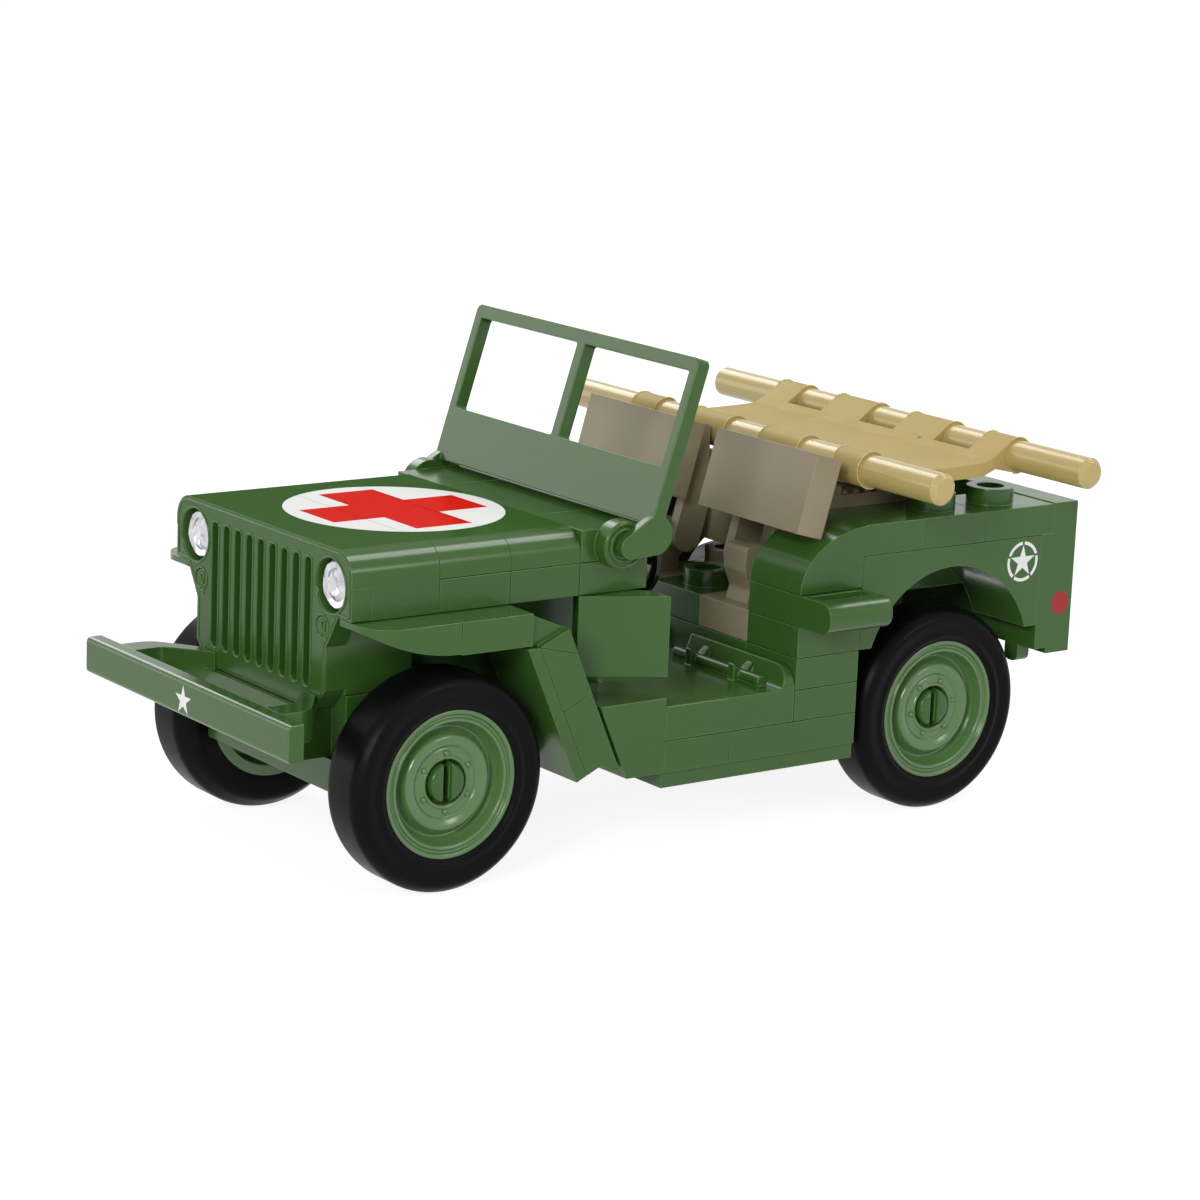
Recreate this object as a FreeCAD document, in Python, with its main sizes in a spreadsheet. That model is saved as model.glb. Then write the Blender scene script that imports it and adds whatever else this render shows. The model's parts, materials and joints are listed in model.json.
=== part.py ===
import FreeCAD, Part
import math
import operator
import os
from types import SimpleNamespace
from FreeCAD import Placement, Rotation, Vector

os.makedirs("parts", exist_ok=True)
doc = FreeCAD.newDocument("Army4x4Car")

# Driving sizes in millimetres and degrees. X runs forwards from the tail face, Y to the left from
# the centre line, Z up from the ground. The nodes are moved back at the end so that the origin lies
# under the middle of the car.
SIZES = {
    # brick system
    "stud_pitch": 8.0,
    "plate_height": 3.2,
    "seam": 0.08,
    "stud_radius": 2.45,
    "stud_bore": 1.45,
    "stud_height": 1.7,
    "overlap": 0.2,
    # wheels and chassis
    "wheelbase": 60.0,
    "tyre_radius": 10.6,
    "tyre_width": 7.0,
    "shoulder_width": 1.2,
    "shoulder_drop": 0.8,
    "tyre_wall": 3.4,
    "rim_inset": 0.4,
    "rim_lip": 0.9,
    "rim_wall": 1.3,
    "bowl_depth": 1.8,
    "bowl_share": 0.61,
    "ridge_share": 0.14,
    "web_thick": 1.4,
    "hub_wall": 1.1,
    "hub_rise": 0.5,
    "wheel_face": 19.4,
    "wheel_gap": 0.4,
    "axle_drop": 1.8,
    "pin_radius": 1.6,
    "pin_clearance": 0.06,
    "pin_recess": 1.3,
    "pin_split": 0.6,
    "split_depth": 2.4,
    "bearer_rise": 1.2,
    "bearer_drop": 1.8,
    "bearer_foot": 2.4,
    "bearer_round": 1.2,
    # tail and rear fenders
    "tail_wall": 3.2,
    "tail_bracket": 1.6,
    "bracket_lift": 0.6,
    "tab_width": 2.0,
    "tab_drop": 1.9,
    "tab_edge": 2.5,
    "arch_radius": 11.0,
    "arch_crown": 2.2,
    "fender_flat": 6.8,
    "fender_drop": 6.2,
    "handle_reach": 4.8,
    "handle_slot": 1.8,
    "handle_neck": 0.6,
    "handle_end": 0.76,
    # cabin floor
    "base_thick": 1.6,
    "base_inset": 0.3,
    "floor_rise": 0.2,
    "rim_top": 2.4,
    "rim_flat": 0.7,
    "rim_slope": 0.9,
    "door_round": 2.2,
    "tool_radius": 0.6,
    "tool_length": 14.0,
    "tool_back": 2.4,
    "tool_sink": 0.15,
    "clip_jaw": 1.2,
    "clip_rise": 1.7,
    "jaw_thick": 0.9,
    # seats
    "seat_pivot": 4.45,
    "pivot_rise": 4.1,
    "seat_tilt": 15.5,
    "seat_foot": 3.7,
    "seat_height": 8.1,
    "seat_front": 5.6,
    "seat_thick": 3.2,
    "seat_gap": 6.0,
    "seat_width": 16.0,
    "rib_radius": 1.7,
    "rib_width": 1.2,
    "rib_taper": 2.6,
    "bar_radius": 0.8,
    "clip_width": 3.5,
    "clip_head": 1.5,
    "rib_gap": 0.95,
    # cowl, bonnet and side panels
    "bonnet_drop": 4.8,
    "bonnet_round": 2.4,
    "nose_length": 9.6,
    "core_half": 8.8,
    "panel_height": 8.0,
    "panel_thick": 2.9,
    "sill_end_height": 7.5,
    "sill_end_gap": 0.4,
    # slabs behind the front wheels
    "slab_tilt": 24.4,
    "slab_clearance": 1.3,
    "slab_skin": 1.3,
    "slab_depth": 3.5,
    "slab_low": 6.9,
    "slab_gap": 0.3,
    "slab_joint": 0.4,
    "slab_heel": 1.9,
    "slab_bevel": 3.3,
    # nose
    "face_thick": 2.2,
    "face_taper": 1.4,
    "face_bottom": 9.8,
    "face_waist": 11.8,
    "face_foot": 2.2,
    "slot_pitch": 2.12,
    "slot_width": 1.1,
    "slot_depth": 1.3,
    "slot_foot": 2.1,
    "slot_head": 1.7,
    "lamp_radius": 2.55,
    "lamp_height": 2.8,
    "lamp_half": 12.4,
    "lamp_depth": 1.9,
    "lens_gap": 0.15,
    "marker_radius": 1.2,
    "marker_drop": 4.1,
    "marker_half": 11.1,
    "marker_rim": 0.3,
    "marker_depth": 0.35,
    # front fenders, frame and bumper
    "fender_tip": 1.4,
    "fender_round": 3.6,
    "fender_bend": 3.0,
    "fender_lift": 1.7,
    "fender_sweep": 8.0,
    "bumper_reach": 8.2,
    "bumper_half": 19.0,
    "bumper_drop": 12.8,
    "bumper_height": 3.6,
    "bumper_depth": 1.6,
    "bumper_round": 0.5,
    "frame_thick": 1.6,
    "riser_half": 9.6,
    "riser_lip": 0.8,
    "horn_out": 15.0,
    "horn_in": 12.2,
    "horn_width": 2.8,
    "horn_height": 3.2,
    # windscreen
    "screen_tilt": 17.3,
    "screen_half": 18.7,
    "screen_height": 16.5,
    "screen_thick": 1.4,
    "screen_sill": 5.6,
    "screen_rail": 1.35,
    "screen_post": 1.05,
    "centre_post": 1.2,
    "screen_round": 0.7,
    "pane_round": 0.3,
    "screen_back": 2.25,
    "screen_rise": 2.0,
    "hinge_radius": 2.4,
    "hinge_disc": 1.6,
    "hinge_pin": 1.0,
    "arm_radius": 1.15,
    "arm_gap": 0.1,
    "elbow_radius": 1.9,
    "elbow_back": 2.95,
    "elbow_rise": 0.9,
    # steering wheel
    "steering_radius": 4.0,
    "steering_grip": 0.55,
    "steering_reach": 4.6,
    "steering_rise": 1.2,
    "column_radius": 0.9,
    "spoke_half": 0.4,
    # stretcher
    "pole_radius": 1.6,
    "pole_length": 60.0,
    "pole_bevel": 0.45,
    "pole_spacing": 19.6,
    "pole_tail": 4.8,
    "cloth_length": 38.0,
    "cloth_thick": 1.3,
    "cloth_lift": 0.15,
    "sag_run": 4.4,
    "sleeve_thick": 0.45,
    "window_length": 5.0,
    "window_width": 2.6,
    "window_pitch": 12.0,
    # bench
    "step_half": 9.2,
    "bench_rise": 1.2,
    "bench_edge": 3.4,
    "edge_rise": 1.0,
}

sheet = doc.addObject("Spreadsheet::Sheet", "Sizes")
for row, (alias, number) in enumerate(SIZES.items(), start=1):
    sheet.set(f"A{row}", alias)
    sheet.set(f"B{row}", str(number))
    sheet.setAlias(f"B{row}", alias)
doc.recompute()


class Length:
    """A number together with the spreadsheet formula that gives it."""

    def __init__(self, value, formula=None):
        self.value = float(value)
        self.formula = formula or f"{self.value:.6f}"

    def __float__(self):
        return self.value

    def __neg__(self):
        return 0 - self


def teach(name, sign, work):
    """Gives Length one arithmetic operator, on either side of it."""
    def joined(first, second):
        first, second = (item if isinstance(item, Length) else Length(item) for item in (first, second))
        return Length(work(first.value, second.value), f"({first.formula} {sign} {second.formula})")
    setattr(Length, f"__{name}__", joined)
    setattr(Length, f"__r{name}__", lambda second, first: joined(first, second))


for name, sign, work in (("add", "+", operator.add), ("sub", "-", operator.sub),
                         ("mul", "*", operator.mul), ("truediv", "/", operator.truediv)):
    teach(name, sign, work)
v = SimpleNamespace(**{alias: Length(sheet.get(alias), f"Sizes.{alias}") for alias in SIZES})

# Stations along the car and heights, all worked out from the driving sizes.
TUB_HALF = 2.5 * v.stud_pitch
HOOD_HALF = 2 * v.stud_pitch
FLOOR_HALF = 0.5 * v.stud_pitch
SIDE = (TUB_HALF - v.stud_pitch, TUB_HALF)
TAIL = v.tail_wall + v.tail_bracket
REAR_AXLE = TAIL + 1.5 * v.stud_pitch
FRONT_AXLE = REAR_AXLE + v.wheelbase
COWL_FRONT = FRONT_AXLE - 2 * v.stud_pitch
COWL_REAR = COWL_FRONT - v.stud_pitch
NOSE_REAR = COWL_FRONT + 2 * v.stud_pitch
GRILLE_FRONT = FRONT_AXLE + v.nose_length
LENGTH = GRILLE_FRONT + v.bumper_reach
CHASSIS_BASE = v.tyre_radius - v.axle_drop
DECK = CHASSIS_BASE + 7 * v.plate_height
BONNET_BASE = DECK - v.bonnet_drop
BONNET_TOP = BONNET_BASE + 2 * v.plate_height
CHASSIS_HALF = v.wheel_face - v.tyre_width - v.wheel_gap
HINGE = (COWL_REAR + 0.5 * v.stud_pitch, BONNET_BASE + 1.5 * v.plate_height)
BUMPER_TOP = DECK - v.bumper_drop
GRILLE_BOTTOM = BUMPER_TOP - v.frame_thick
nodes = []


def level(plates):
    """A height, counted in plates down from the rear deck."""
    return DECK - plates * v.plate_height


def station(studs):
    """A length, counted in studs from the bracket of the tail."""
    return TAIL + studs * v.stud_pitch


# Ways of making a solid.
def bind(item, prop, length):
    """Ties a property to a length's formula."""
    formula = length.formula if isinstance(length, Length) else Length(length).formula
    item.setExpression(prop, formula)


def block(name, x, y, z):
    """A box between pairs of lengths."""
    item = doc.addObject("Part::Box", name)
    for prop, axis, (low, high) in zip(("Length", "Width", "Height"), "xyz", (x, y, z)):
        bind(item, prop, high - low)
        bind(item, f"Placement.Base.{axis}", low)
    return item


def brick(name, x, y, z):
    """A block with its share of the seam taken off both ends and the top."""
    return block(name, (x[0] + v.seam / 2, x[1] - v.seam / 2), y, (z[0], z[1] - v.seam))


def rod(name, radius, length, at, direction):
    """A cylinder that starts at a point and runs along a vector."""
    item = doc.addObject("Part::Cylinder", name)
    bind(item, "Radius", radius)
    bind(item, "Height", length)
    item.Placement.Rotation = Rotation(Vector(0, 0, 1), Vector(*direction))
    for axis, place in zip("xyz", at):
        bind(item, f"Placement.Base.{axis}", place)
    return item


def fuse(name, *pieces):
    item = doc.addObject("Part::MultiFuse", name)
    item.Shapes = list(pieces)
    item.Refine = True
    return item


def cut(name, base, *tools):
    item = doc.addObject("Part::Cut", name)
    item.Base = base
    item.Tool = tools[0] if len(tools) == 1 else fuse(name + "_tools", *tools)
    return item


def common(name, *pieces):
    item = doc.addObject("Part::MultiCommon", name)
    item.Shapes = list(pieces)
    return item


def group(name, *pieces):
    item = doc.addObject("Part::Compound", name)
    item.Links = list(pieces)
    return item


def mirrored(name, item):
    """The piece and its twin on the other side of the centre line."""
    twin = doc.addObject("Part::Mirroring", name + "_twin")
    twin.Source = item
    twin.Normal = Vector(0, 1, 0)
    return group(name, item, twin)


def arc(centre, radius, start, end):
    """An arc about a centre, turning left from the first point to the second."""
    first, last = (math.atan2(point.y - centre.y, point.x - centre.x) for point in (start, end))
    circle = Part.Circle(centre, Vector(0, 0, 1), float(radius))
    return Part.ArcOfCircle(circle, first, last + (2 * math.pi if last < first else 0))


def path(corners):
    """The lines of a closed outline. A third number in a corner rounds it by that radius."""
    places = [Vector(float(corner[0]), float(corner[1]), 0) for corner in corners]
    curves = []
    joints = []
    for n, corner in enumerate(corners):
        place = places[n]
        if len(corner) == 2:
            joints.append((place, place))
            continue
        back = (places[n - 1] - place).normalize()
        ahead = (places[(n + 1) % len(places)] - place).normalize()
        half = back.getAngle(ahead) / 2
        radius = float(corner[2])
        first, last = (place + way * (radius / math.tan(half)) for way in (back, ahead))
        centre = place + (back + ahead).normalize() * (radius / math.sin(half))
        turns_left = back.cross(ahead).z < 0
        curves.append(arc(centre, radius, first, last) if turns_left else arc(centre, radius, last, first))
        joints.append((first, last))
    for (_, start), (end, _) in zip(joints, joints[1:] + joints[:1]):
        if start.distanceToPoint(end) > 1e-6:
            curves.append(Part.LineSegment(start, end))
    return curves


def link(first, first_radius, second, second_radius):
    """An outline with round ends about two points, each with its own radius."""
    first, second = (Vector(float(a), float(b), 0) for a, b in (first, second))
    run = second - first
    lean = (float(first_radius) - float(second_radius)) / run.Length
    run.normalize()
    side = Vector(-run.y, run.x, 0) * math.sqrt(1 - lean ** 2)
    left, right = (run * lean + side, run * lean - side)
    ends = []
    for centre, radius in ((first, float(first_radius)), (second, float(second_radius))):
        ends.append((centre + left * radius, centre + right * radius))
    return [arc(first, first_radius, *ends[0]), Part.LineSegment(ends[0][1], ends[1][1]),
            arc(second, second_radius, ends[1][1], ends[1][0]), Part.LineSegment(ends[1][0], ends[0][0])]


def extruded(name, plane, start, depth, *outlines):
    """A sketch of outlines in a plane, which is named by its two axes, given its depth along the third."""
    turn, axis, way = {"XY": (Rotation(), "z", Vector(0, 0, 1)),
                       "XZ": (Rotation(Vector(1, 0, 0), 90), "y", Vector(0, 1, 0)),
                       "YZ": (Rotation(Vector(1, 1, 1), 120), "x", Vector(1, 0, 0))}[plane]
    sketch = doc.addObject("Sketcher::SketchObject", name + "_sketch")
    sketch.Placement.Rotation = turn
    bind(sketch, f"Placement.Base.{axis}", start)
    for outline in outlines:
        sketch.addGeometry(outline, False)
    item = doc.addObject("Part::Extrusion", name)
    item.Base = sketch
    item.DirMode = "Custom"
    item.Dir = way
    item.Solid = True
    item.FaceMakerClass = "Part::FaceMakerBullseye"
    bind(item, "LengthFwd", depth)
    return item


def revolved(name, corners):
    """A PartDesign revolution about Y of a half section, given as (radius, place along Y)."""
    body = doc.addObject("PartDesign::Body", name)
    sketch = body.newObject("Sketcher::SketchObject", name + "_section")
    sketch.AttachmentSupport = [(body.Origin.OriginFeatures[3], "")]
    sketch.MapMode = "FlatFace"
    sketch.addGeometry(path(corners), False)
    turned = body.newObject("PartDesign::Revolution", name + "_turned")
    turned.Profile = sketch
    turned.ReferenceAxis = (sketch, ["V_Axis"])
    turned.Angle = 360
    body.Tip = turned
    return body


def placed(item, x, y, z):
    """Puts an item at a point given by lengths."""
    for axis, place in zip("xyz", (x, y, z)):
        bind(item, f"Placement.Base.{axis}", place)
    return item


def stud(name, x, y, z):
    """A hollow stud that stands on a plate."""
    post = rod(name + "_post", v.stud_radius, v.stud_height + v.overlap, (x, y, z - v.overlap), (0, 0, 1))
    bore = rod(name + "_bore", v.stud_bore, v.stud_height, (x, y, z + v.overlap), (0, 0, 1))
    return cut(name, post, bore)


def node(name, *pieces):
    """Names a sub-part, moves it to the row's origin and keeps it for export."""
    item = group("Node_" + name, *pieces)
    item.Label = name
    bind(item, "Placement.Base.x", -LENGTH / 2)
    nodes.append((name, item))


# Rolling gear.
def build_chassis():
    """A long flat plate with two bearers, whose split pins carry the wheels."""
    plate = block("chassis_beam", (station(0), FRONT_AXLE + v.stud_pitch), (-CHASSIS_HALF, CHASSIS_HALF),
                  (level(7), level(6)))
    pieces = [plate]
    splits = []
    reach = v.wheel_face - v.pin_recess
    for end, x in (("rear", REAR_AXLE), ("front", FRONT_AXLE)):
        side = v.stud_pitch / 2
        top = level(6) + v.bearer_rise
        foot = level(7) - v.bearer_drop
        outline = path([(x - side, top), (x - side, v.tyre_radius), (x - v.bearer_foot, foot, v.bearer_round),
                        (x + v.bearer_foot, foot, v.bearer_round), (x + side, v.tyre_radius), (x + side, top)])
        pieces.append(extruded(f"{end}_bearer", "XZ", -CHASSIS_HALF, 2 * CHASSIS_HALF, outline))
        pieces.append(rod(f"{end}_pin", v.pin_radius, 2 * reach, (x, -reach, v.tyre_radius), (0, 1, 0)))
        for side_name, low in (("left", reach - v.split_depth), ("right", -reach - v.overlap)):
            splits.append(block(f"{end}_{side_name}_split", (x - v.pin_split / 2, x + v.pin_split / 2),
                                (low, low + v.split_depth + v.overlap),
                                (v.tyre_radius - 2 * v.pin_radius, v.tyre_radius + 2 * v.pin_radius)))
    node("chassis", cut("Chassis", fuse("Chassis_solid", *pieces), *splits))


def wheel_sections():
    """Half sections of the tyre and the rim, as (radius, distance outwards from the wheel's inner face)."""
    face = v.tyre_width - v.rim_inset
    tread = v.tyre_radius - v.shoulder_drop
    outer = v.tyre_radius - v.tyre_wall
    tyre = [(outer, v.rim_inset), (tread, 0), (v.tyre_radius, v.shoulder_width),
            (v.tyre_radius, v.tyre_width - v.shoulder_width), (tread, v.tyre_width), (outer, face)]
    bore = v.pin_radius + v.pin_clearance
    hub = bore + v.hub_wall
    floor = face - v.bowl_depth
    web = floor - v.web_thick
    drum = outer - v.rim_wall
    lip = outer - v.rim_lip
    bowl = hub + v.bowl_share * (lip - hub)
    ridge = v.ridge_share * (lip - hub)
    rim = [(bore, v.rim_inset), (hub, v.rim_inset), (hub, web), (drum, web), (drum, v.rim_inset),
           (outer, v.rim_inset), (outer, face), (lip, face), (bowl, floor), (bowl - ridge, floor + ridge),
           (bowl - 2 * ridge, floor), (hub, floor), (hub, floor + v.hub_rise), (bore, floor + v.hub_rise)]
    return {"tyre": tyre, "rim": rim}


def build_wheels():
    inner = v.wheel_face - v.tyre_width
    for end, x in (("rear", REAR_AXLE), ("front", FRONT_AXLE)):
        for side, sign in (("left", 1), ("right", -1)):
            for kind, section in wheel_sections().items():
                name = f"{end}_{side}_{kind}"
                turned = revolved(name + "_body", [(radius, sign * (inner + along)) for radius, along in section])
                node(name, placed(turned, x, 0, v.tyre_radius))


# Tub sides, from the sill up.
def build_sills():
    joint = COWL_REAR - v.stud_pitch
    rear = brick("sill_rear_tile", (station(3), joint), SIDE, (level(7), level(6)))
    front = brick("sill_front_tile", (joint, COWL_REAR), SIDE, (level(7), level(6)))
    node("sill_tiles", mirrored("Sill_tiles", group("Sill_row", rear, front)))
    half = TUB_HALF - v.base_inset
    node("base_plate", block("Base_plate", (station(3), COWL_REAR), (-half, half), (level(7) - v.base_thick, level(7))))


def build_columns():
    rows = [brick(f"column_{n}", (station(3), station(4)), SIDE, (level(n + 1), level(n))) for n in (3, 4, 5)]
    node("side_columns", mirrored("Side_columns", group("Column", *rows)))


def build_handles():
    """A plate with a grab bar along its outer edge."""
    outer = TUB_HALF + v.handle_reach
    edge = 0.45 * (v.plate_height - v.seam)
    outline = path([(SIDE[0], level(3)), (outer, level(3), edge), (outer, level(2) - v.seam, edge),
                    (SIDE[0], level(2) - v.seam)])
    plate = extruded("handle_plate", "YZ", station(3) + v.seam / 2, v.stud_pitch - v.seam, outline)
    slot = block("handle_hole", (station(3) + v.handle_end, station(4) - v.handle_end),
                 (TUB_HALF + v.handle_neck, TUB_HALF + v.handle_neck + v.handle_slot),
                 (level(3) - v.overlap, level(2) + v.overlap))
    node("side_handles", mirrored("Side_handles", cut("Handle", plate, slot)))


def build_rear_arches():
    """The side elements that arch over the rear wheels."""
    body = brick("arch_block", (station(0), station(3)), SIDE, (level(4), level(1)))
    hole = rod("arch_hole", v.arch_radius, v.stud_pitch + 2 * v.overlap,
               (REAR_AXLE, SIDE[0] - v.overlap, level(1) - v.arch_crown - v.arch_radius), (0, 1, 0))
    node("rear_arches", mirrored("Rear_arches", cut("Arch", body, hole)))


def build_rear_deck():
    middle = TUB_HALF - v.stud_pitch / 2
    rear = fuse("Deck_rear", brick("deck_rear", (v.tail_wall, station(1)), SIDE, (level(1), level(0))),
                stud("deck_rear_stud", station(0.5), middle, level(0) - v.seam))
    mid = fuse("Deck_mid", brick("deck_mid", (station(1), station(2)), SIDE, (level(1), level(0))),
               stud("deck_mid_stud", station(1.5), middle, level(0) - v.seam))
    node("rear_deck", mirrored("Rear_deck", group("Deck_row", rear, mid)))


def build_fender_curves():
    """Two studs long, flat at the back, then a quarter of an ellipse down to the handle's height."""
    start, end = (float(station(2) + v.seam / 2), float(station(4) - v.seam / 2))
    step = float(station(3) + v.seam / 2)
    top = float(DECK - v.seam)
    turn = start + float(v.fender_flat)
    low = top - float(v.fender_drop)
    run, drop = Vector(end - turn, 0, 0), float(v.fender_drop)
    ellipse = Part.Ellipse(Vector(turn, low, 0), run.x, drop) if run.x > drop else Part.Circle(
        Vector(turn, low, 0), Vector(0, 0, 1), drop)
    curve = ellipse.trim(0, math.pi / 2)
    corners = [(turn, top), (start, top), (start, float(level(1))), (step, float(level(1))), (step, float(level(2))),
               (end, float(level(2))), (end, low)]
    places = [Vector(a, b, 0) for a, b in corners]
    lines = [Part.LineSegment(a, b) for a, b in zip(places, places[1:]) if a.distanceToPoint(b) > 1e-6]
    item = extruded("Fender_curve", "XZ", SIDE[0], v.stud_pitch, [curve] + lines)
    node("fender_curves", mirrored("Fender_curves", item))


def build_tail():
    """The tail plate with the bracket that carries it, and a small tab under each end of the bracket."""
    wall = block("tail_plate", (0, v.tail_wall), (-TUB_HALF, TUB_HALF), (level(5), level(0)))
    low = level(5) + v.bracket_lift
    bracket = block("tail_bracket_plate", (v.tail_wall, TAIL), (-TUB_HALF, TUB_HALF), (low, level(1)))
    side = TUB_HALF - v.tab_edge
    tabs = [extruded(f"tail_tab_{name}", "YZ", v.tail_wall, v.tail_bracket,
                     path([(y, low + v.overlap), (y, low - v.tab_drop, 0.4 * v.tab_width),
                           (y + v.tab_width, low - v.tab_drop, 0.4 * v.tab_width), (y + v.tab_width, low + v.overlap)]))
            for name, y in (("left", side - v.tab_width), ("right", -side))]
    node("tail_wall", fuse("Tail", wall, bracket, *tabs))


def build_cargo_floor():
    node("cargo_floor", block("Cargo_floor", (station(0), station(2)), (-SIDE[0], SIDE[0]), (level(3), level(2))))
    base = level(6) + v.bearer_rise
    step = path([(station(1), base), (station(3), base), (station(3), level(4)), (station(2), level(4)),
                 (station(2), level(3)), (station(1), level(3))])
    node("rear_riser", extruded("Rear_riser", "XZ", -v.stud_pitch, 2 * v.stud_pitch, step))


def build_door_floors():
    """A floor tray on each side with a raised rear rim, and a tool held by two jaws."""
    start, end = (station(4) + v.seam, COWL_REAR - v.seam)
    floor = level(5) + v.floor_rise
    top = level(5) + v.rim_top
    slope = start + v.rim_flat + v.rim_slope
    tray = extruded("door_tray", "XZ", FLOOR_HALF, 2 * v.stud_pitch,
                    path([(start, level(6)), (end, level(6)), (end, floor), (slope, floor, v.rim_slope),
                          (start + v.rim_flat, top), (start, top)]))
    section = extruded("door_section", "YZ", start, end - start,
                       path([(FLOOR_HALF, level(6)), (TUB_HALF, level(6)), (TUB_HALF, top, v.door_round),
                             (FLOOR_HALF, top)]))
    x = start + v.tool_back
    y = FLOOR_HALF + 2 * v.stud_pitch - v.tool_length - v.door_round
    tool = rod("door_tool", v.tool_radius, v.tool_length, (x, y, floor + v.tool_radius - v.tool_sink), (0, 1, 0))
    jaws = [extruded(f"door_jaw_{n}", "XZ", y + n * v.tool_length / 4 - v.jaw_thick / 2, v.jaw_thick,
                     path([(x - v.clip_jaw, floor - v.overlap), (x + v.clip_jaw, floor - v.overlap),
                           (x + v.clip_jaw, floor + v.clip_rise), (x, floor + v.tool_radius),
                           (x - v.clip_jaw, floor + v.clip_rise)])) for n in (1, 3)]
    item = fuse("Door_floor", common("door_shape", tray, section), tool, *jaws)
    node("door_floors", mirrored("Door_floors", item))
    node("tub_floor", block("Tub_floor", (start, COWL_REAR), (-FLOOR_HALF, FLOOR_HALF), (level(6) + v.seam, level(5))))


# Body forward of the doors.
def slab_front():
    """The leaning front face behind the front wheel: its tilt and its distance from the axle."""
    return math.radians(float(v.slab_tilt)), float(v.tyre_radius + v.slab_clearance)


def build_sill_ends():
    """Blocks under the cowl, cut off along the slabs behind the front wheels."""
    tilt, reach = slab_front()
    back = reach + float(v.slab_skin + v.slab_depth + v.sill_end_gap)

    def cut_at(height):
        return FRONT_AXLE - back / math.cos(tilt) + (height - v.tyre_radius) * math.tan(tilt)

    foot = level(7)
    top = foot + v.sill_end_height
    outline = path([(COWL_REAR, foot), (cut_at(foot), foot), (cut_at(top), top), (COWL_REAR, top)])
    node("sill_ends", mirrored("Sill_ends", extruded("Sill_end", "XZ", SIDE[0], v.stud_pitch, outline)))


def build_fender_slabs():
    """Slabs that lean behind each front wheel, a skin in front of a lower and an upper piece."""
    tilt, reach = slab_front()
    roof = float(BONNET_BASE - v.plate_height - v.slab_gap - v.tyre_radius)
    high = (roof - reach * math.sin(tilt)) / math.cos(tilt)

    def leaning(up, back):
        """A point up the slab's front face and back from it."""
        along, behind = float(up), reach + float(back)
        return (float(FRONT_AXLE) + along * math.sin(tilt) - behind * math.cos(tilt),
                float(v.tyre_radius) + along * math.cos(tilt) + behind * math.sin(tilt))

    skin, depth = v.slab_skin, v.slab_skin + v.slab_depth
    low, joint = -v.slab_low, v.slab_joint
    drop = float(skin) * math.tan(tilt)
    outlines = {"skin": [(low, 0), (high, 0), (high - drop, skin - v.seam), (low, skin - v.seam)],
                "lower": [(low, skin), (joint - v.seam, skin), (joint - v.seam, depth), (low - v.slab_heel, depth),
                          (low, (skin + depth) / 2)],
                "upper": [(joint, skin), (high - drop, skin), (high - v.slab_bevel, depth), (joint, depth)]}
    pieces = [extruded(f"slab_{name}", "XZ", SIDE[0], v.stud_pitch, path([leaning(*corner) for corner in corners]))
              for name, corners in outlines.items()]
    node("fender_slabs", mirrored("Fender_slabs", group("Fender_slab", *pieces)))


def build_cowl_panels():
    """Panels under the cowl that turn inwards from the tub's width to the bonnet's."""
    out, inner = (TUB_HALF, HOOD_HALF)
    outline = path([(COWL_REAR, out), (COWL_FRONT, inner), (COWL_FRONT - v.panel_thick / 2, inner - v.panel_thick),
                    (COWL_REAR, out - v.panel_thick)])
    item = extruded("Cowl_panel", "XY", BONNET_BASE - v.panel_height, v.panel_height - v.seam, outline)
    node("cowl_panels", mirrored("Cowl_panels", item))


def build_cowl():
    """Two layers. The upper one has a tile between two bricks that carry the windscreen's hinge discs."""
    span = (COWL_REAR, COWL_FRONT)
    middle = BONNET_BASE + v.plate_height
    lower = brick("cowl_lower_plate", span, (-HOOD_HALF, HOOD_HALF), (BONNET_BASE, middle))
    node("cowl_lower", lower)
    tile = brick("cowl_tile", span, (-v.stud_pitch, v.stud_pitch), (middle, BONNET_TOP))
    inner = v.stud_pitch + v.seam
    side = brick("cowl_side", span, (inner, HOOD_HALF), (middle, BONNET_TOP))
    disc = rod("hinge_disc_left", v.hinge_radius, v.hinge_disc, (HINGE[0], HOOD_HALF, HINGE[1]), (0, 1, 0))
    bore = rod("hinge_bore_left", v.hinge_pin + v.pin_clearance, v.hinge_disc + 2 * v.overlap + v.hinge_pin,
               (HINGE[0], HOOD_HALF - v.hinge_pin - v.overlap, HINGE[1]), (0, 1, 0))
    hinge = cut("Cowl_hinge", fuse("Cowl_hinge_solid", side, disc), bore)
    node("cowl_upper", tile, mirrored("Cowl_hinges", hinge))


def bonnet_outline(low):
    """The bonnet's cross section down to a height."""
    return path([(-HOOD_HALF, low), (HOOD_HALF, low), (HOOD_HALF, BONNET_TOP, v.bonnet_round),
                 (-HOOD_HALF, BONNET_TOP, v.bonnet_round)])


def build_bonnet():
    middle = BONNET_BASE + v.plate_height
    for n, name in enumerate(("bonnet_rear", "bonnet_mid")):
        start = COWL_FRONT + n * v.stud_pitch
        node(name, extruded(name + "_curve", "YZ", start + v.seam / 2, v.stud_pitch - v.seam, bonnet_outline(middle)))
    row = [brick(f"bonnet_tile_{n}", (COWL_FRONT + n * v.stud_pitch, COWL_FRONT + (n + 1) * v.stud_pitch),
                 (-HOOD_HALF, HOOD_HALF), (BONNET_BASE, middle)) for n in (0, 1)]
    node("bonnet_tiles", *row)
    node("bonnet_core", block("Bonnet_core", (COWL_REAR, NOSE_REAR - v.seam), (-v.core_half, v.core_half),
                              (level(6) + v.bearer_rise, BONNET_BASE)))


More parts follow.
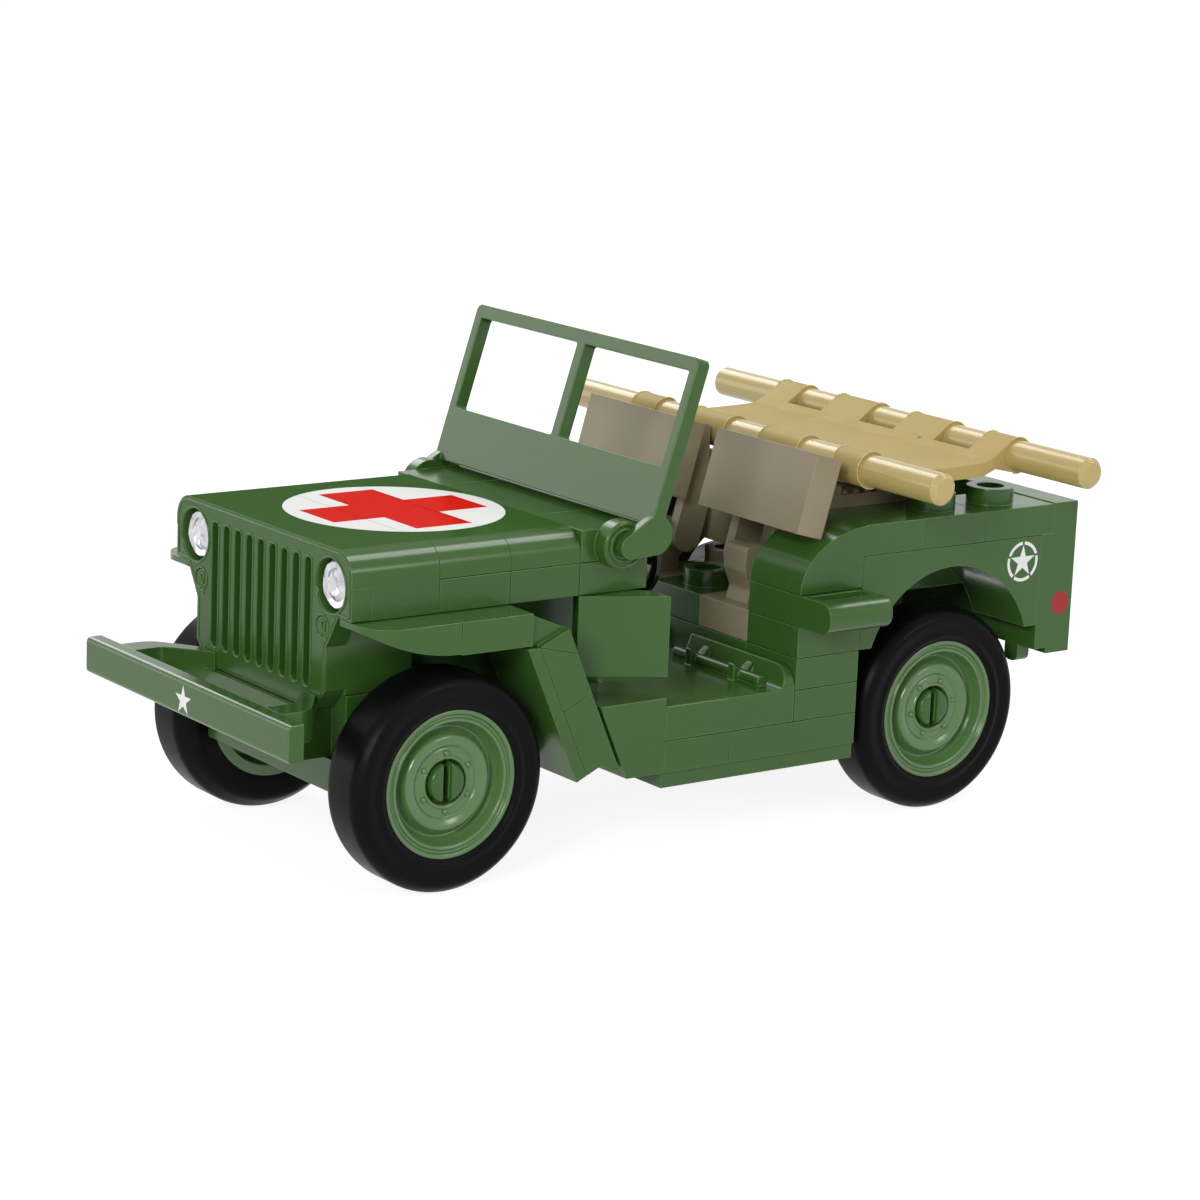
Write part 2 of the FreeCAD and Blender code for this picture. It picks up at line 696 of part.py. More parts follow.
def build_nose():
    """One moulding: the bonnet's front end, and a tapered face with bowls for the lamps and nine slots."""
    start = NOSE_REAR + v.seam / 2
    face = GRILLE_FRONT - v.face_thick
    hood = extruded("nose_hood", "YZ", start, GRILLE_FRONT - start, bonnet_outline(BONNET_BASE + v.plate_height))
    body = block("nose_body", (start, face), (-HOOD_HALF, HOOD_HALF), (BONNET_BASE, BONNET_TOP - v.bonnet_round))
    waist = GRILLE_BOTTOM + v.face_foot
    side = [(v.face_bottom, GRILLE_BOTTOM), (v.face_waist, waist), (v.face_waist, BONNET_BASE - v.plate_height),
            (HOOD_HALF - v.face_taper, BONNET_BASE + v.face_taper), (HOOD_HALF, BONNET_BASE + v.plate_height + v.overlap)]
    outline = path(side + [(-y, z) for y, z in reversed(side)])
    core = block("nose_core", (start, face), (-v.face_waist, v.face_waist), (level(4), BONNET_BASE))
    shell = fuse("nose_shell", hood, body, core, extruded("nose_face", "YZ", face, v.face_thick, outline))
    floor = GRILLE_FRONT - v.slot_depth
    slots = []
    for n in range(-4, 5):
        y = n * v.slot_pitch
        foot = GRILLE_BOTTOM + v.slot_foot + v.slot_width / 2
        head = BONNET_TOP - v.slot_head - v.slot_width / 2
        slots.append(extruded(f"slot_{n + 4}", "YZ", floor, v.slot_depth + v.overlap,
                              link((y, foot), v.slot_width / 2, (y, head), v.slot_width / 2)))
    lamp_z = BONNET_BASE + v.lamp_height
    bowls, rings, lenses = [], [], []
    for name, sign in (("left", 1), ("right", -1)):
        bowls.append(rod(f"lamp_bowl_{name}", v.lamp_radius, v.lamp_depth + v.overlap,
                         (GRILLE_FRONT - v.lamp_depth, sign * v.lamp_half, lamp_z), (1, 0, 0)))
        at = (GRILLE_FRONT - v.marker_depth, sign * v.marker_half, lamp_z - v.marker_drop)
        ring = rod(f"marker_ring_{name}", v.marker_radius, v.marker_depth + v.overlap, at, (1, 0, 0))
        button = rod(f"marker_button_{name}", v.marker_radius - v.marker_rim, v.marker_depth + v.overlap, at, (1, 0, 0))
        rings.append(cut(f"marker_groove_{name}", ring, button))
        lenses.append(rod(f"lamp_lens_{name}", v.lamp_radius - v.lens_gap, v.lamp_depth - v.lens_gap,
                          (GRILLE_FRONT - v.lamp_depth, sign * v.lamp_half, lamp_z), (1, 0, 0)))
    node("nose", cut("Nose", shell, *slots, *bowls, *rings))
    node("headlamps", *lenses)


def build_front_fenders():
    """Blocks that stand out over the front wheels. The foremost thins out towards its rounded corner."""
    low, high = BONNET_BASE - v.plate_height, BONNET_BASE
    start, tip = NOSE_REAR + v.seam / 2, GRILLE_FRONT - v.fender_tip
    behind = GRILLE_FRONT - v.face_thick - v.seam
    beside = HOOD_HALF - v.face_taper
    plan = extruded("fender_plan", "XY", low, high - low - v.seam,
                    path([(start, SIDE[0]), (start, TUB_HALF), (tip, TUB_HALF, v.fender_round), (tip, beside),
                          (behind, beside), (behind, SIDE[0])]))
    profile = extruded("fender_profile", "XZ", SIDE[0], v.stud_pitch,
                       path([(start, low), (tip - v.fender_bend, low, v.fender_sweep), (tip, low + v.fender_lift),
                             (tip, high), (start, high)]))
    rear = brick("fender_block", (NOSE_REAR - v.stud_pitch, NOSE_REAR), SIDE, (low, high))
    node("front_fenders", mirrored("Front_fenders", group("Fender_row", common("Fender_nose", plan, profile), rear)))


def build_front_frame():
    """The bumper, and the box under the grille with the two curved horns that carry it."""
    low = BUMPER_TOP - v.bumper_height
    back = LENGTH - v.bumper_depth
    node("bumper", extruded("bumper_bar", "XZ", -v.bumper_half, 2 * v.bumper_half,
                            path([(back, low), (LENGTH, low, v.bumper_round), (LENGTH, BUMPER_TOP, v.bumper_round),
                                  (back, BUMPER_TOP)])))
    rear = FRONT_AXLE + v.stud_pitch / 2
    riser = block("frame_riser", (rear, GRILLE_FRONT + v.riser_lip), (-v.riser_half, v.riser_half),
                  (level(6), GRILLE_BOTTOM - v.seam))
    bearer = block("frame_bearer", (rear, GRILLE_FRONT - v.face_thick - v.seam), (-CHASSIS_HALF, CHASSIS_HALF),
                   (level(6), level(4) - v.seam))
    bend = 2 * v.frame_thick
    root = GRILLE_FRONT + v.seam
    horn = extruded("frame_horn", "XY", GRILLE_BOTTOM - v.frame_thick + v.seam, v.horn_height - v.seam,
                    path([(back, v.horn_in), (back, v.horn_out), (back - bend, v.horn_out, v.horn_width),
                          (root, v.riser_half + v.frame_thick / 2), (root, v.riser_half - v.frame_thick),
                          (back - bend, v.horn_in, v.frame_thick)]))
    node("front_frame", fuse("Front_frame", riser, bearer, mirrored("Horns", horn)))


# Windscreen.
def build_windscreen():
    """A frame with two panes, tilted back and hung on two arms that turn in the hinge discs."""
    half, height = v.screen_half, v.screen_height
    low, high = v.screen_sill, height - v.screen_rail
    post, side = v.centre_post / 2, half - v.screen_post
    r = v.pane_round
    panes = [path([(a, low, r), (b, low, r), (b, high, r), (a, high, r)]) for a, b in ((post, side), (-side, -post))]
    border = path([(-half, 0), (half, 0), (half, height, v.screen_round), (-half, height, v.screen_round)])
    frame = extruded("screen_frame", "YZ", -v.screen_thick, v.screen_thick, border, *panes)
    leaning = group("screen_leaning", frame)
    leaning.Placement.Rotation = Rotation(Vector(0, 1, 0), -float(v.screen_tilt))
    placed(leaning, HINGE[0] - v.screen_back, 0, HINGE[1] + v.screen_rise)
    start = HOOD_HALF + v.hinge_disc + v.arm_gap
    elbow = (HINGE[0] - v.elbow_back, HINGE[1] + v.elbow_rise)
    arm = extruded("screen_arm", "XZ", start, half - start, link(HINGE, v.arm_radius, elbow, v.elbow_radius))
    pin = rod("screen_pin", v.hinge_pin, start - HOOD_HALF + v.hinge_pin, (HINGE[0], HOOD_HALF - v.hinge_pin + v.overlap, HINGE[1]),
              (0, 1, 0))
    node("windscreen", fuse("Windscreen", leaning, mirrored("Screen_arms", fuse("Screen_arm", arm, pin))))


# Cabin.
def build_seats():
    """Two seat backs, each on a bar that an S-shaped clip holds between its two ribs."""
    pivot = (station(4) - v.seat_pivot, level(3) + v.pivot_rise)
    middle = SIDE[0] - v.stud_pitch / 2
    reach = v.clip_width / 2 + v.rib_gap
    slab = extruded("seat_slab", "XZ", v.seat_gap / 2, v.seat_width,
                    path([(v.seat_front - v.seat_thick, v.seat_foot), (v.seat_front, v.seat_foot),
                          (v.seat_front, v.seat_foot + v.seat_height), (v.seat_front - v.seat_thick, v.seat_foot + v.seat_height)]))
    top = v.seat_foot + v.seat_height
    pieces = [slab]
    for name, y in (("inner", middle - reach - v.rib_width), ("outer", middle + reach)):
        pieces.append(extruded(f"seat_rib_{name}", "XZ", y, v.rib_width,
                               path([(-v.rib_radius, -v.rib_radius, 0.98 * v.rib_radius),
                                     (v.rib_radius, -v.rib_radius, 0.98 * v.rib_radius), (v.rib_radius, v.seat_foot),
                                     (v.seat_front - v.seat_thick + v.overlap, v.seat_foot),
                                     (v.seat_front - v.seat_thick + v.overlap, top), (v.rib_taper - v.rib_radius, top),
                                     (-v.rib_radius, v.seat_foot)])))
    pieces.append(rod("seat_bar", v.bar_radius, 2 * (reach + v.rib_width), (0, middle - reach - v.rib_width, 0), (0, 1, 0)))
    seat = fuse("Seat_back", *pieces)
    seat.Placement.Rotation = Rotation(Vector(0, 1, 0), -float(v.seat_tilt))
    placed(seat, pivot[0], 0, pivot[1])
    twin = doc.addObject("Part::Mirroring", "Seat_back_twin")
    twin.Source = seat
    twin.Normal = Vector(0, 1, 0)
    node("seat_back_left", seat)
    node("seat_back_right", twin)
    build_seat_clips(pivot, middle)


def build_seat_clips(pivot, middle):
    """S-shaped clips that stand on the tan plates and grip the bars of the seats."""
    x, z = pivot
    foot = level(3)
    head = v.clip_head
    stem = path([(x - 0.5 * head, foot), (x + 1.9 * head, foot), (x + 1.6 * head, foot + 0.9 * head, 0.5 * head),
                 (x + 2.2 * head, foot + 2.2 * head, 0.6 * head), (x + 2.1 * head, z + 1.2 * head, 0.4 * head),
                 (x + 0.9 * head, z + 1.2 * head, 0.3 * head), (x + 0.9 * head, z), (x - head, z, 0.3 * head),
                 (x - 1.2 * head, foot + 1.7 * head, 0.5 * head), (x - 0.4 * head, foot + 0.9 * head, 0.3 * head)])
    body = fuse("seat_clip_body", extruded("seat_clip_stem", "XZ", middle - v.clip_width / 2, v.clip_width, stem),
                rod("seat_clip_head", head, v.clip_width, (x, middle - v.clip_width / 2, z), (0, 1, 0)))
    bore = rod("seat_clip_bore", v.bar_radius + v.pin_clearance, v.clip_width + 2 * v.overlap,
               (x, middle - v.clip_width / 2 - v.overlap, z), (0, 1, 0))
    node("seat_clips", mirrored("Seat_clips", cut("Seat_clip", body, bore)))


def build_seat_base():
    span = (station(3), station(4))
    plate = block("seat_plate", span, (-FLOOR_HALF, FLOOR_HALF), (level(4), level(3)))
    node("seat_base", fuse("Seat_base", plate, stud("seat_stud", station(3.5), 0, level(3))))
    tan = block("seat_tan_plate", span, (FLOOR_HALF + v.seam, SIDE[0]), (level(4), level(3)))
    half = v.step_half
    step = block("step_plate", (station(2), station(3) - v.seam), (-half, half), (level(4), level(3)))
    knobs = [stud(f"step_stud_{name}", station(2.5), y, level(3))
             for name, y in (("left", half - v.stud_radius), ("right", v.stud_radius - half))]
    node("seat_tan_plates", mirrored("Seat_tan_plates", tan), fuse("Step_plate", step, *knobs))
    node("seat_riser", block("Seat_riser", span, (-SIDE[0], SIDE[0]), (level(6), level(4) - v.seam)))


def build_steering():
    """The steering wheel stands on a short column that plugs into the cowl's rear face."""
    grip, outer = v.steering_grip, v.steering_radius
    inner = outer - 2 * grip
    middle = outer - grip
    ring = revolved("steering_rim", [(inner, -grip / 2), (middle, -grip), (outer, -grip / 2), (outer, grip / 2),
                                     (middle, grip), (inner, grip / 2)])
    column = rod("steering_column", v.column_radius, v.steering_reach, (0, 0, 0), (0, 1, 0))
    width = v.spoke_half
    across = block("steering_spoke_across", (-middle, middle), (-width, width), (-width, width))
    low = block("steering_spoke_low", (-width, width), (-width, width), (-middle, 0))
    item = fuse("Steering_wheel", ring, column, across, low)
    item.Placement.Rotation = Rotation(Vector(0, 0, 1), -90)
    placed(item, COWL_REAR + v.seam / 2 - v.steering_reach, v.stud_pitch, BONNET_BASE + v.steering_rise)
    node("steering_wheel", item)


# Load in the tail.
def build_stretcher():
    """Two poles, and a sheet that hangs from sleeves round them, with openings beside the sleeves."""
    low = DECK + v.stud_height + v.cloth_lift
    outer = v.pole_radius + v.sleeve_thick
    z = low + v.cloth_thick + outer
    rear = v.tail_wall + v.pole_tail
    front = rear + v.pole_spacing
    half, bevel = v.pole_length / 2, v.pole_bevel
    section = [(0, -half), (v.pole_radius - bevel, -half), (v.pole_radius, bevel - half), (v.pole_radius, half - bevel),
               (v.pole_radius - bevel, half), (0, half)]
    node("stretcher_poles", *[placed(revolved(f"pole_{name}", section), x, 0, z)
                              for name, x in (("rear", rear), ("front", front))])
    length = v.cloth_length
    foot = low + v.cloth_thick
    outline = path([(rear, z + 0.7 * outer), (rear + outer, z, v.cloth_thick), (rear + v.sag_run + v.seam, foot, v.cloth_thick),
                    (front - v.sag_run - v.seam, foot, v.cloth_thick), (front - outer, z, v.cloth_thick), (front, z + 0.7 * outer),
                    (front, z - 0.9 * outer), (front - v.sag_run + v.cloth_thick / 4, low, 2 * v.cloth_thick),
                    (rear + v.sag_run - v.cloth_thick / 4, low, 2 * v.cloth_thick), (rear, z - 0.9 * outer)])
    pieces = [extruded("cloth_sheet", "XZ", -length / 2, length, outline)]
    tools = []
    for name, x in (("rear", rear), ("front", front)):
        pieces.append(rod(f"sleeve_{name}", outer, length, (x, -length / 2, z), (0, 1, 0)))
        tools.append(rod(f"sleeve_bore_{name}", v.pole_radius, length + 2 * v.overlap, (x, -length / 2 - v.overlap, z), (0, 1, 0)))
        near, far = (outer + v.overlap, outer + v.window_width)
        span = (x - near, x + far) if name == "rear" else (x - far, x + near)
        for n in (-1, 0, 1):
            y = n * v.window_pitch
            tools.append(block(f"window_{name}_{n + 1}", span, (y - v.window_length / 2, y + v.window_length / 2),
                               (low - v.cloth_thick, z + 2 * outer)))
    node("stretcher_cloth", cut("Stretcher_cloth", fuse("cloth_solid", *pieces), *tools))


def build_bench():
    inner = SIDE[0] - v.seam
    top = DECK + v.bench_rise
    pad = block("bench_pad", (station(1), station(3)), (-inner, inner), (level(2) + v.seam, top))
    edge = block("bench_edge", (station(3) - v.bench_edge, station(3)), (-inner, inner), (top - v.overlap, top + v.edge_rise))
    node("rear_cushion", fuse("Rear_cushion", pad, edge))


build_chassis()
build_wheels()
build_sills()
build_columns()
build_handles()
build_rear_arches()
build_rear_deck()
build_fender_curves()
build_tail()
build_cargo_floor()
build_door_floors()
build_sill_ends()
build_fender_slabs()
build_cowl_panels()
build_cowl()
build_bonnet()
build_nose()
build_front_fenders()
build_front_frame()
build_windscreen()
build_seats()
build_seat_base()
build_steering()
build_stretcher()
build_bench()
doc.recompute()

for item in doc.Objects:
    if "Invalid" in item.State or "Error" in item.State:
        raise RuntimeError(f"{item.Name}: {item.State}")
for name, item in nodes:
    if item.Shape.isNull() or not item.Shape.isValid():
        raise RuntimeError(f"{name} is not a valid solid")
    item.Shape.exportStep(f"parts/{name}.step")
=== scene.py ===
import json
import math

import bmesh
import bpy
from mathutils import Matrix, Vector


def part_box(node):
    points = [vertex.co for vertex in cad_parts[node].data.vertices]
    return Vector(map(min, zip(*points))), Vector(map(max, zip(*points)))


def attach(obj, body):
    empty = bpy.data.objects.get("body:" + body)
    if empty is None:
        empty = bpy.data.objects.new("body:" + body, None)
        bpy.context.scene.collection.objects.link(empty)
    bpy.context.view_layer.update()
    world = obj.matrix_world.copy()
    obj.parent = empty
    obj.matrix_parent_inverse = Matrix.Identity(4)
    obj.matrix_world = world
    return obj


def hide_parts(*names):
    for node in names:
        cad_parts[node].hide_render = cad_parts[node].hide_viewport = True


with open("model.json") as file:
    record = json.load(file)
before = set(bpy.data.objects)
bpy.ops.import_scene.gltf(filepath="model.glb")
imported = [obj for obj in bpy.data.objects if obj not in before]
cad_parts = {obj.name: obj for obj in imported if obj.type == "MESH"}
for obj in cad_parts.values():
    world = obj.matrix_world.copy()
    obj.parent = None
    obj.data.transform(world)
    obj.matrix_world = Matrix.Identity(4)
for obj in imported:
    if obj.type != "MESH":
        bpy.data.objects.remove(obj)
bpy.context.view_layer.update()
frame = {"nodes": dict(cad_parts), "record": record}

MM = 0.001
NODES = frame["nodes"]
SCENE = bpy.context.scene

# Studio: share of white that the world gives as light, the floor's greys, and the lamps with their
# place, size and power.
WORLD_LIGHT = 0.38
FLOOR_RADIUS = 4.0
FLOOR_SIDES = 96
FLOOR_GREY = 0.78
SHADOW_GREY = 0.30
FLOOR_GLOW = 0.88
LAMP_AIM = (0, 0, 0.02)
LAMPS = [
    ("Key", (0.72, 0.50, 0.42), 0.30, 4.2),
    ("Side", (-0.40, 0.85, 0.40), 0.26, 1.3),
    ("Top", (-0.50, 0.08, 0.80), 0.40, 2.6),
    ("Back", (-0.12, -0.74, 0.54), 0.46, 2.4),
    ("Low", (0.54, -0.72, 0.10), 0.50, 1.1),
]

# Camera, solved from the brick grid that the photograph shows.
CAMERA_PLACE = Vector((210.93, 285.23, 102.57)) * MM
CAMERA_AZIMUTH = math.radians(143.401)
CAMERA_ELEVATION = math.radians(12.908)
CAMERA_ROLL = math.radians(2.383)
CAMERA_LENS = 107.955

# Colours of the mouldings and of the printed inks.
GREEN = (0.040, 0.108, 0.020)
RIM_GREEN = (0.085, 0.178, 0.056)
TAN = (0.29, 0.248, 0.16)
SAND = (0.50, 0.385, 0.14)
SHEET_SAND = (0.45, 0.345, 0.13)
BLACK = (0.004, 0.004, 0.004)
WHITE_INK = (0.83, 0.83, 0.82)
RED_INK = (0.68, 0.016, 0.008)
REFLECTOR_RED = (0.36, 0.008, 0.010)
# Painted reflections in the lamps' silvered facets: the dark and the bright ends of a mottle.
PAINTED_FACET_SHADE = (0.30, 0.29, 0.33)
PAINTED_FACET_GLINT = (0.95, 0.94, 0.97)

# Moulded plastic: scales of its noises, contrast of its painted edge highlights, distance of its bumps.
FLOW_SCALE = 140
RUB_SCALE = 420
PEEL_SCALE = 1500
RUB_SPREAD = 0.12
EDGE_HIGHLIGHT_CONTRAST = 3.0
BUMP_DISTANCE = 0.02 * MM

# Bonnet gloss: the coat's weight goes from the first to the second over this range of Facing.
SATIN_FACING = (0.45, 0.80)
SATIN_COAT = (0.70, 0.05)
SATIN_ROUGHNESS = 0.18

# Lamp silver: scales of its noises, of which the first mottles painted reflections into its colour, share of
# metal, least roughness and its spread, weight of the coat.
SILVER_SCALE = 700
SILVER_RUB_SCALE = 1300
SILVER_METAL = 0.55
SILVER_ROUGHNESS = 0.14
SILVER_RUB_SPREAD = 0.2
SILVER_COAT = 0.5

# Printed figures in the row frame.
DISC_CENTRE = 24.3 * MM
DISC_RADIUS = 10.75 * MM
CROSS_REACH = 8.8 * MM
CROSS_ARM = 3.15 * MM
BUMPER_STAR_HEIGHT = 16.4 * MM
BUMPER_STAR_TIP = 1.5 * MM
RING_CENTRE = (-40.0 * MM, 25.4 * MM)
RING_RADIUS = 2.1 * MM
RING_WIDTH = 0.34 * MM
RING_BREAK = 0.07
RING_STAR_TIP = RING_RADIUS - RING_WIDTH * 1.1
REFLECTOR_CENTRE = (-45.7 * MM, 20.5 * MM)
REFLECTOR_RADIUS = 1.2 * MM
PRINT_DEPTH = 0.3 * MM

# Wheels: half sections in millimetres, as (radius, distance out from the tyre's inner face, rounding).
TYRE_SECTION = [(6.9, 0.45), (7.5, 0.3, 0.4), (9.3, 0.0, 1.2), (10.6, 1.9, 1.6), (10.6, 5.9, 1.3),
                (9.75, 7.0, 1.5), (8.3, 6.74, 0.8), (7.72, 6.9, 0.2), (7.42, 6.62, 0.2), (6.9, 6.5)]
RIM_SECTION = [(1.66, 0.4), (2.76, 0.4, 0.2), (2.76, 3.1, 0.4), (5.9, 3.1, 0.6), (5.9, 0.4, 0.2),
               (7.2, 0.4, 0.3), (7.2, 6.6, 0.25), (6.8, 6.6, 0.16), (6.62, 6.25, 0.14), (6.4, 6.25, 0.14),
               (6.28, 6.5, 0.14), (6.02, 6.46, 0.2), (5.75, 5.5, 0.5), (5.3, 4.85, 0.5), (4.95, 5.2, 0.5),
               (4.5, 6.1, 0.9), (3.6, 5.75, 0.5), (3.35, 5.5, 0.12), (3.2, 5.58, 0.1), (2.62, 5.58, 0.1),
               (2.52, 5.74, 0.1), (2.22, 5.66, 0.16), (2.15, 4.5, 0.2), (1.66, 4.4)]
RIVETS = 6
RIVET_RING = 2.82 * MM
RIVET_RADIUS = 0.3 * MM
RIVET_HEIGHT = 0.3 * MM
RIVET_SEAT = 5.6 * MM
RIVET_SEGMENTS = 16
RIVET_LAYERS = 10
REAR_TURN = math.radians(21)

# Split pin ends: the dome is (millimetres below the tip, share of the pin's size).
CLIP_RADIUS = 1.92 * MM
CLIP_SPLIT = 0.42 * MM
CLIP_PROUD = 0.42 * MM
CLIP_DEPTH = 1.3 * MM
CLIP_DOME = [(0.5, 1.0), (0.2, 0.95), (0.06, 0.82), (0.0, 0.6)]
CLIP_STEPS = 24

# Nose trim in millimetres: heights of slots and border are above the nose's foot, those of the
# marker lamp's lines from its centre.
SLOT_PITCH = 2.12
SLOT_HALF = 0.66
SLOT_FOOT = 1.95
SLOT_HEAD = 14.45
SLOT_ROUNDING = 0.62
FACE_SIDE = [(9.6, 0.3), (11.45, 2.3, 0.3), (11.45, 6.5, 0.5), (13.6, 9.95, 0.3), (15.65, 9.95, 0.3),
             (15.65, 15.62, 2.0)]
LAMP_RIM_RADIUS = 2.7
MARKER_HALF = 11.1
MARKER_DROP = 4.1
MARKER_RADIUS = 1.1
MARKER_LINES = [[(0.0, 0.55), (0.5, 0.55), (0.5, -0.35), (0.0, -0.35), (0.0, 0.55)],
                [(-0.7, -0.8), (0.5, -0.8), (0.5, -1.5)]]

# Nose beads: radius, and depth of their line behind the nose's front.
SLOT_BEAD, SLOT_SINK = 0.13 * MM, 0.03 * MM
FACE_BEAD, FACE_SINK = 0.14 * MM, 0.05 * MM
LAMP_BEAD, LAMP_SINK = 0.15 * MM, 0.04 * MM
MARKER_BEAD, MARKER_SINK = 0.13 * MM, 0.02 * MM
MARKER_STEPS = 32

# Lamp lenses: rings of facets as (share of the radius, share of the depth, half steps turned).
LENS_FACETS = 18
LENS_RINGS = [(1.0, 0.0, 0), (1.0, 0.62, 0), (0.90, 0.80, 1), (0.66, 0.74, 0), (0.42, 0.93, 1),
              (0.18, 0.86, 0)]
LENS_WAVE = 0.035
LENS_WAVE_FROM = 0.7

# Windscreen hinge: discs' rings in relief.
HINGE_HEIGHT = 31.2 * MM
HINGE_RINGS = (2.12 * MM, 1.55 * MM)
HINGE_SINK = 0.08 * MM
HINGE_BEAD = 0.24 * MM

# Stretcher: heights are above the poles' axis, distances from the nearer pole. The sheet's fall is
# (past the crease, below the sheet's edge).
SHEET_EDGE = 3.0 * MM
SHEET_RISE = 0.2 * MM
SHEET_THICK = 1.4 * MM
SHEET_FALL = [(0.0, 0.5 * MM), (0.12 * MM, 0.6 * MM), (2.2 * MM, 0.68 * MM)]
SHEET_MIDDLE_FALL = 0.75 * MM
SHEET_STEPS = 38
CREASE = 4.2 * MM
CREASE_SWING = 0.22 * MM
CREASE_WAVES = (0.62 / MM, 0.23 / MM)
STRAPS = [(2.8 * MM, 9.2 * MM), (14.8 * MM, 19.0 * MM)]
STRAP_THICK = 0.25 * MM
STRAP_STEPS = 32
STRAP_TUCK = 0.4 * MM
TUCK_TOP = 0.18 * MM
TUCK_FOOT = 0.05 * MM
STRAP_SHORT = 0.05 * MM
STRAP_RIM_INSET = 0.06 * MM
STRAP_RIM_STEPS = 24
STRAP_BEAD = 0.1 * MM

# Pins of the stretcher, which enter the open studs: rings as (radius, below the poles' axis).
PIN_PLACE = (-30.5 * MM, 16.0 * MM)
PIN_RINGS = [(1.1 * MM, 3.9 * MM), (1.3 * MM, 3.6 * MM), (1.3 * MM, 1.6 * MM)]
PIN_STEPS = 24

# Front fenders: the bend towards the nose, and the rise of the underside.
FENDER_REAR = 21.54
FENDER_SEAM = 29.5 * MM
FENDER_GAP = 0.04 * MM
FENDER_BEND = 35.6 * MM
FENDER_BEND_POWER = 2.2
FENDER_RISE = 2.5 * MM
FENDER_LIFT = 0.1 * MM
FENDER_INNER = 12.0
FENDER_OUTER = 20.0
FENDER_TIP_HALF = 16.3 * MM
FENDER_TIP_SHORT = 0.12 * MM
FACE_BACK = 36.8 * MM
FACE_HALF = 13.9 * MM
FENDER_STEPS = 12
TIP_STEPS = 10

# Cheeks of the nose in the plane across the car, and heads of the slabs in the plane along it.
CHEEK = [(13.8, 26.42), (15.96, 26.42), (15.96, 29.62), (14.5, 27.9)]
CHEEK_DEPTH = 2.3 * MM
CHEEK_SHORT = 0.04 * MM
SLAB_NECK = [(21.5, 26.1), (17.35, 24.42), (20.1, 23.2), (20.6, 22.94), (21.5, 22.94)]
SLAB_NECK_REACH = (12.1, 19.3)
SLAB_HEAD = [(17.3, 24.4), (16.28, 21.95), (20.58, 22.95), (20.1, 23.2)]

# Bench: ribs behind its front edge.
BENCH_RIBS = 5
BENCH_RIB_START = 4.2 * MM
BENCH_RIB_PITCH = 1.5 * MM
BENCH_RIB_HALF = 11.6 * MM
BENCH_RIB_SINK = 1.0 * MM
BENCH_RIB_RADIUS = 0.4 * MM


# Studio.
def add_camera():
    azimuth, elevation, roll = CAMERA_AZIMUTH, CAMERA_ELEVATION, CAMERA_ROLL
    back = Vector((math.sin(azimuth) * math.cos(elevation), -math.cos(azimuth) * math.cos(elevation),
                   math.sin(elevation)))
    level_right = Vector((0, 0, 1)).cross(back).normalized()
    level_up = back.cross(level_right)
    right = level_right * math.cos(roll) + level_up * math.sin(roll)
    up = back.cross(right)
    data = bpy.data.cameras.new("Camera")
    data.lens = CAMERA_LENS
    data.sensor_width = 36
    data.clip_start = 0.01
    camera = bpy.data.objects.new("Camera", data)
    camera.matrix_world = Matrix.Translation(CAMERA_PLACE) @ Matrix((right, up, back)).transposed().to_4x4()
    SCENE.collection.objects.link(camera)
    SCENE.camera = camera


def add_light(name, place, size, power):
    data = bpy.data.lights.new(name, "AREA")
    data.shape = "DISK"
    data.size = size
    data.energy = power
    light = bpy.data.objects.new(name, data)
    light.location = place
    light.rotation_euler = (Vector(place) - Vector(LAMP_AIM)).to_track_quat("Z", "Y").to_euler()
    SCENE.collection.objects.link(light)


def background_rays(tree):
    """1 for the rays that show the background: from the camera, off gloss and through glass."""
    path = tree.nodes.new("ShaderNodeLightPath").outputs
    seen = math_node(tree, "MAXIMUM", path["Is Camera Ray"], path["Is Glossy Ray"])
    return math_node(tree, "MAXIMUM", seen, path["Is Transmission Ray"])


def add_studio():
    """A white floor that keeps a soft shadow, a white world behind it, and the lamps."""
    mesh = bmesh.new()
    bmesh.ops.create_circle(mesh, cap_ends=True, radius=FLOOR_RADIUS, segments=FLOOR_SIDES)
    data = bpy.data.meshes.new("Floor")
    mesh.to_mesh(data)
    mesh.free()
    floor = bpy.data.objects.new("Floor", data)
    SCENE.collection.objects.link(floor)

    material, tree, shader = new_material("Floor paper")
    shader.inputs["Base Color"].default_value = (FLOOR_GREY, FLOOR_GREY, FLOOR_GREY, 1)
    shader.inputs["Roughness"].default_value = 1.0
    shader.inputs["Specular IOR Level"].default_value = 0.0
    paper = tree.nodes.new("ShaderNodeBsdfDiffuse")
    paper.inputs["Color"].default_value = (SHADOW_GREY, SHADOW_GREY, SHADOW_GREY, 1)
    glow = tree.nodes.new("ShaderNodeEmission")
    glow.inputs["Strength"].default_value = FLOOR_GLOW
    both = tree.nodes.new("ShaderNodeAddShader")
    tree.links.new(paper.outputs[0], both.inputs[0])
    tree.links.new(glow.outputs[0], both.inputs[1])
    choice = tree.nodes.new("ShaderNodeMixShader")
    tree.links.new(background_rays(tree), choice.inputs[0])
    tree.links.new(shader.outputs[0], choice.inputs[1])
    tree.links.new(both.outputs[0], choice.inputs[2])
    tree.links.new(choice.outputs[0], tree.nodes["Material Output"].inputs["Surface"])
    data.materials.append(material)

    world = bpy.data.worlds.new("Studio")
    SCENE.world = world
    world.use_nodes = True
    tree = world.node_tree
    backdrop = tree.nodes["Background"]
    strength = math_node(tree, "MULTIPLY_ADD", background_rays(tree), 1.0 - WORLD_LIGHT, WORLD_LIGHT)
    backdrop.inputs["Color"].default_value = (1, 1, 1, 1)
    tree.links.new(strength, backdrop.inputs["Strength"])
    for lamp in LAMPS:
        add_light(*lamp)


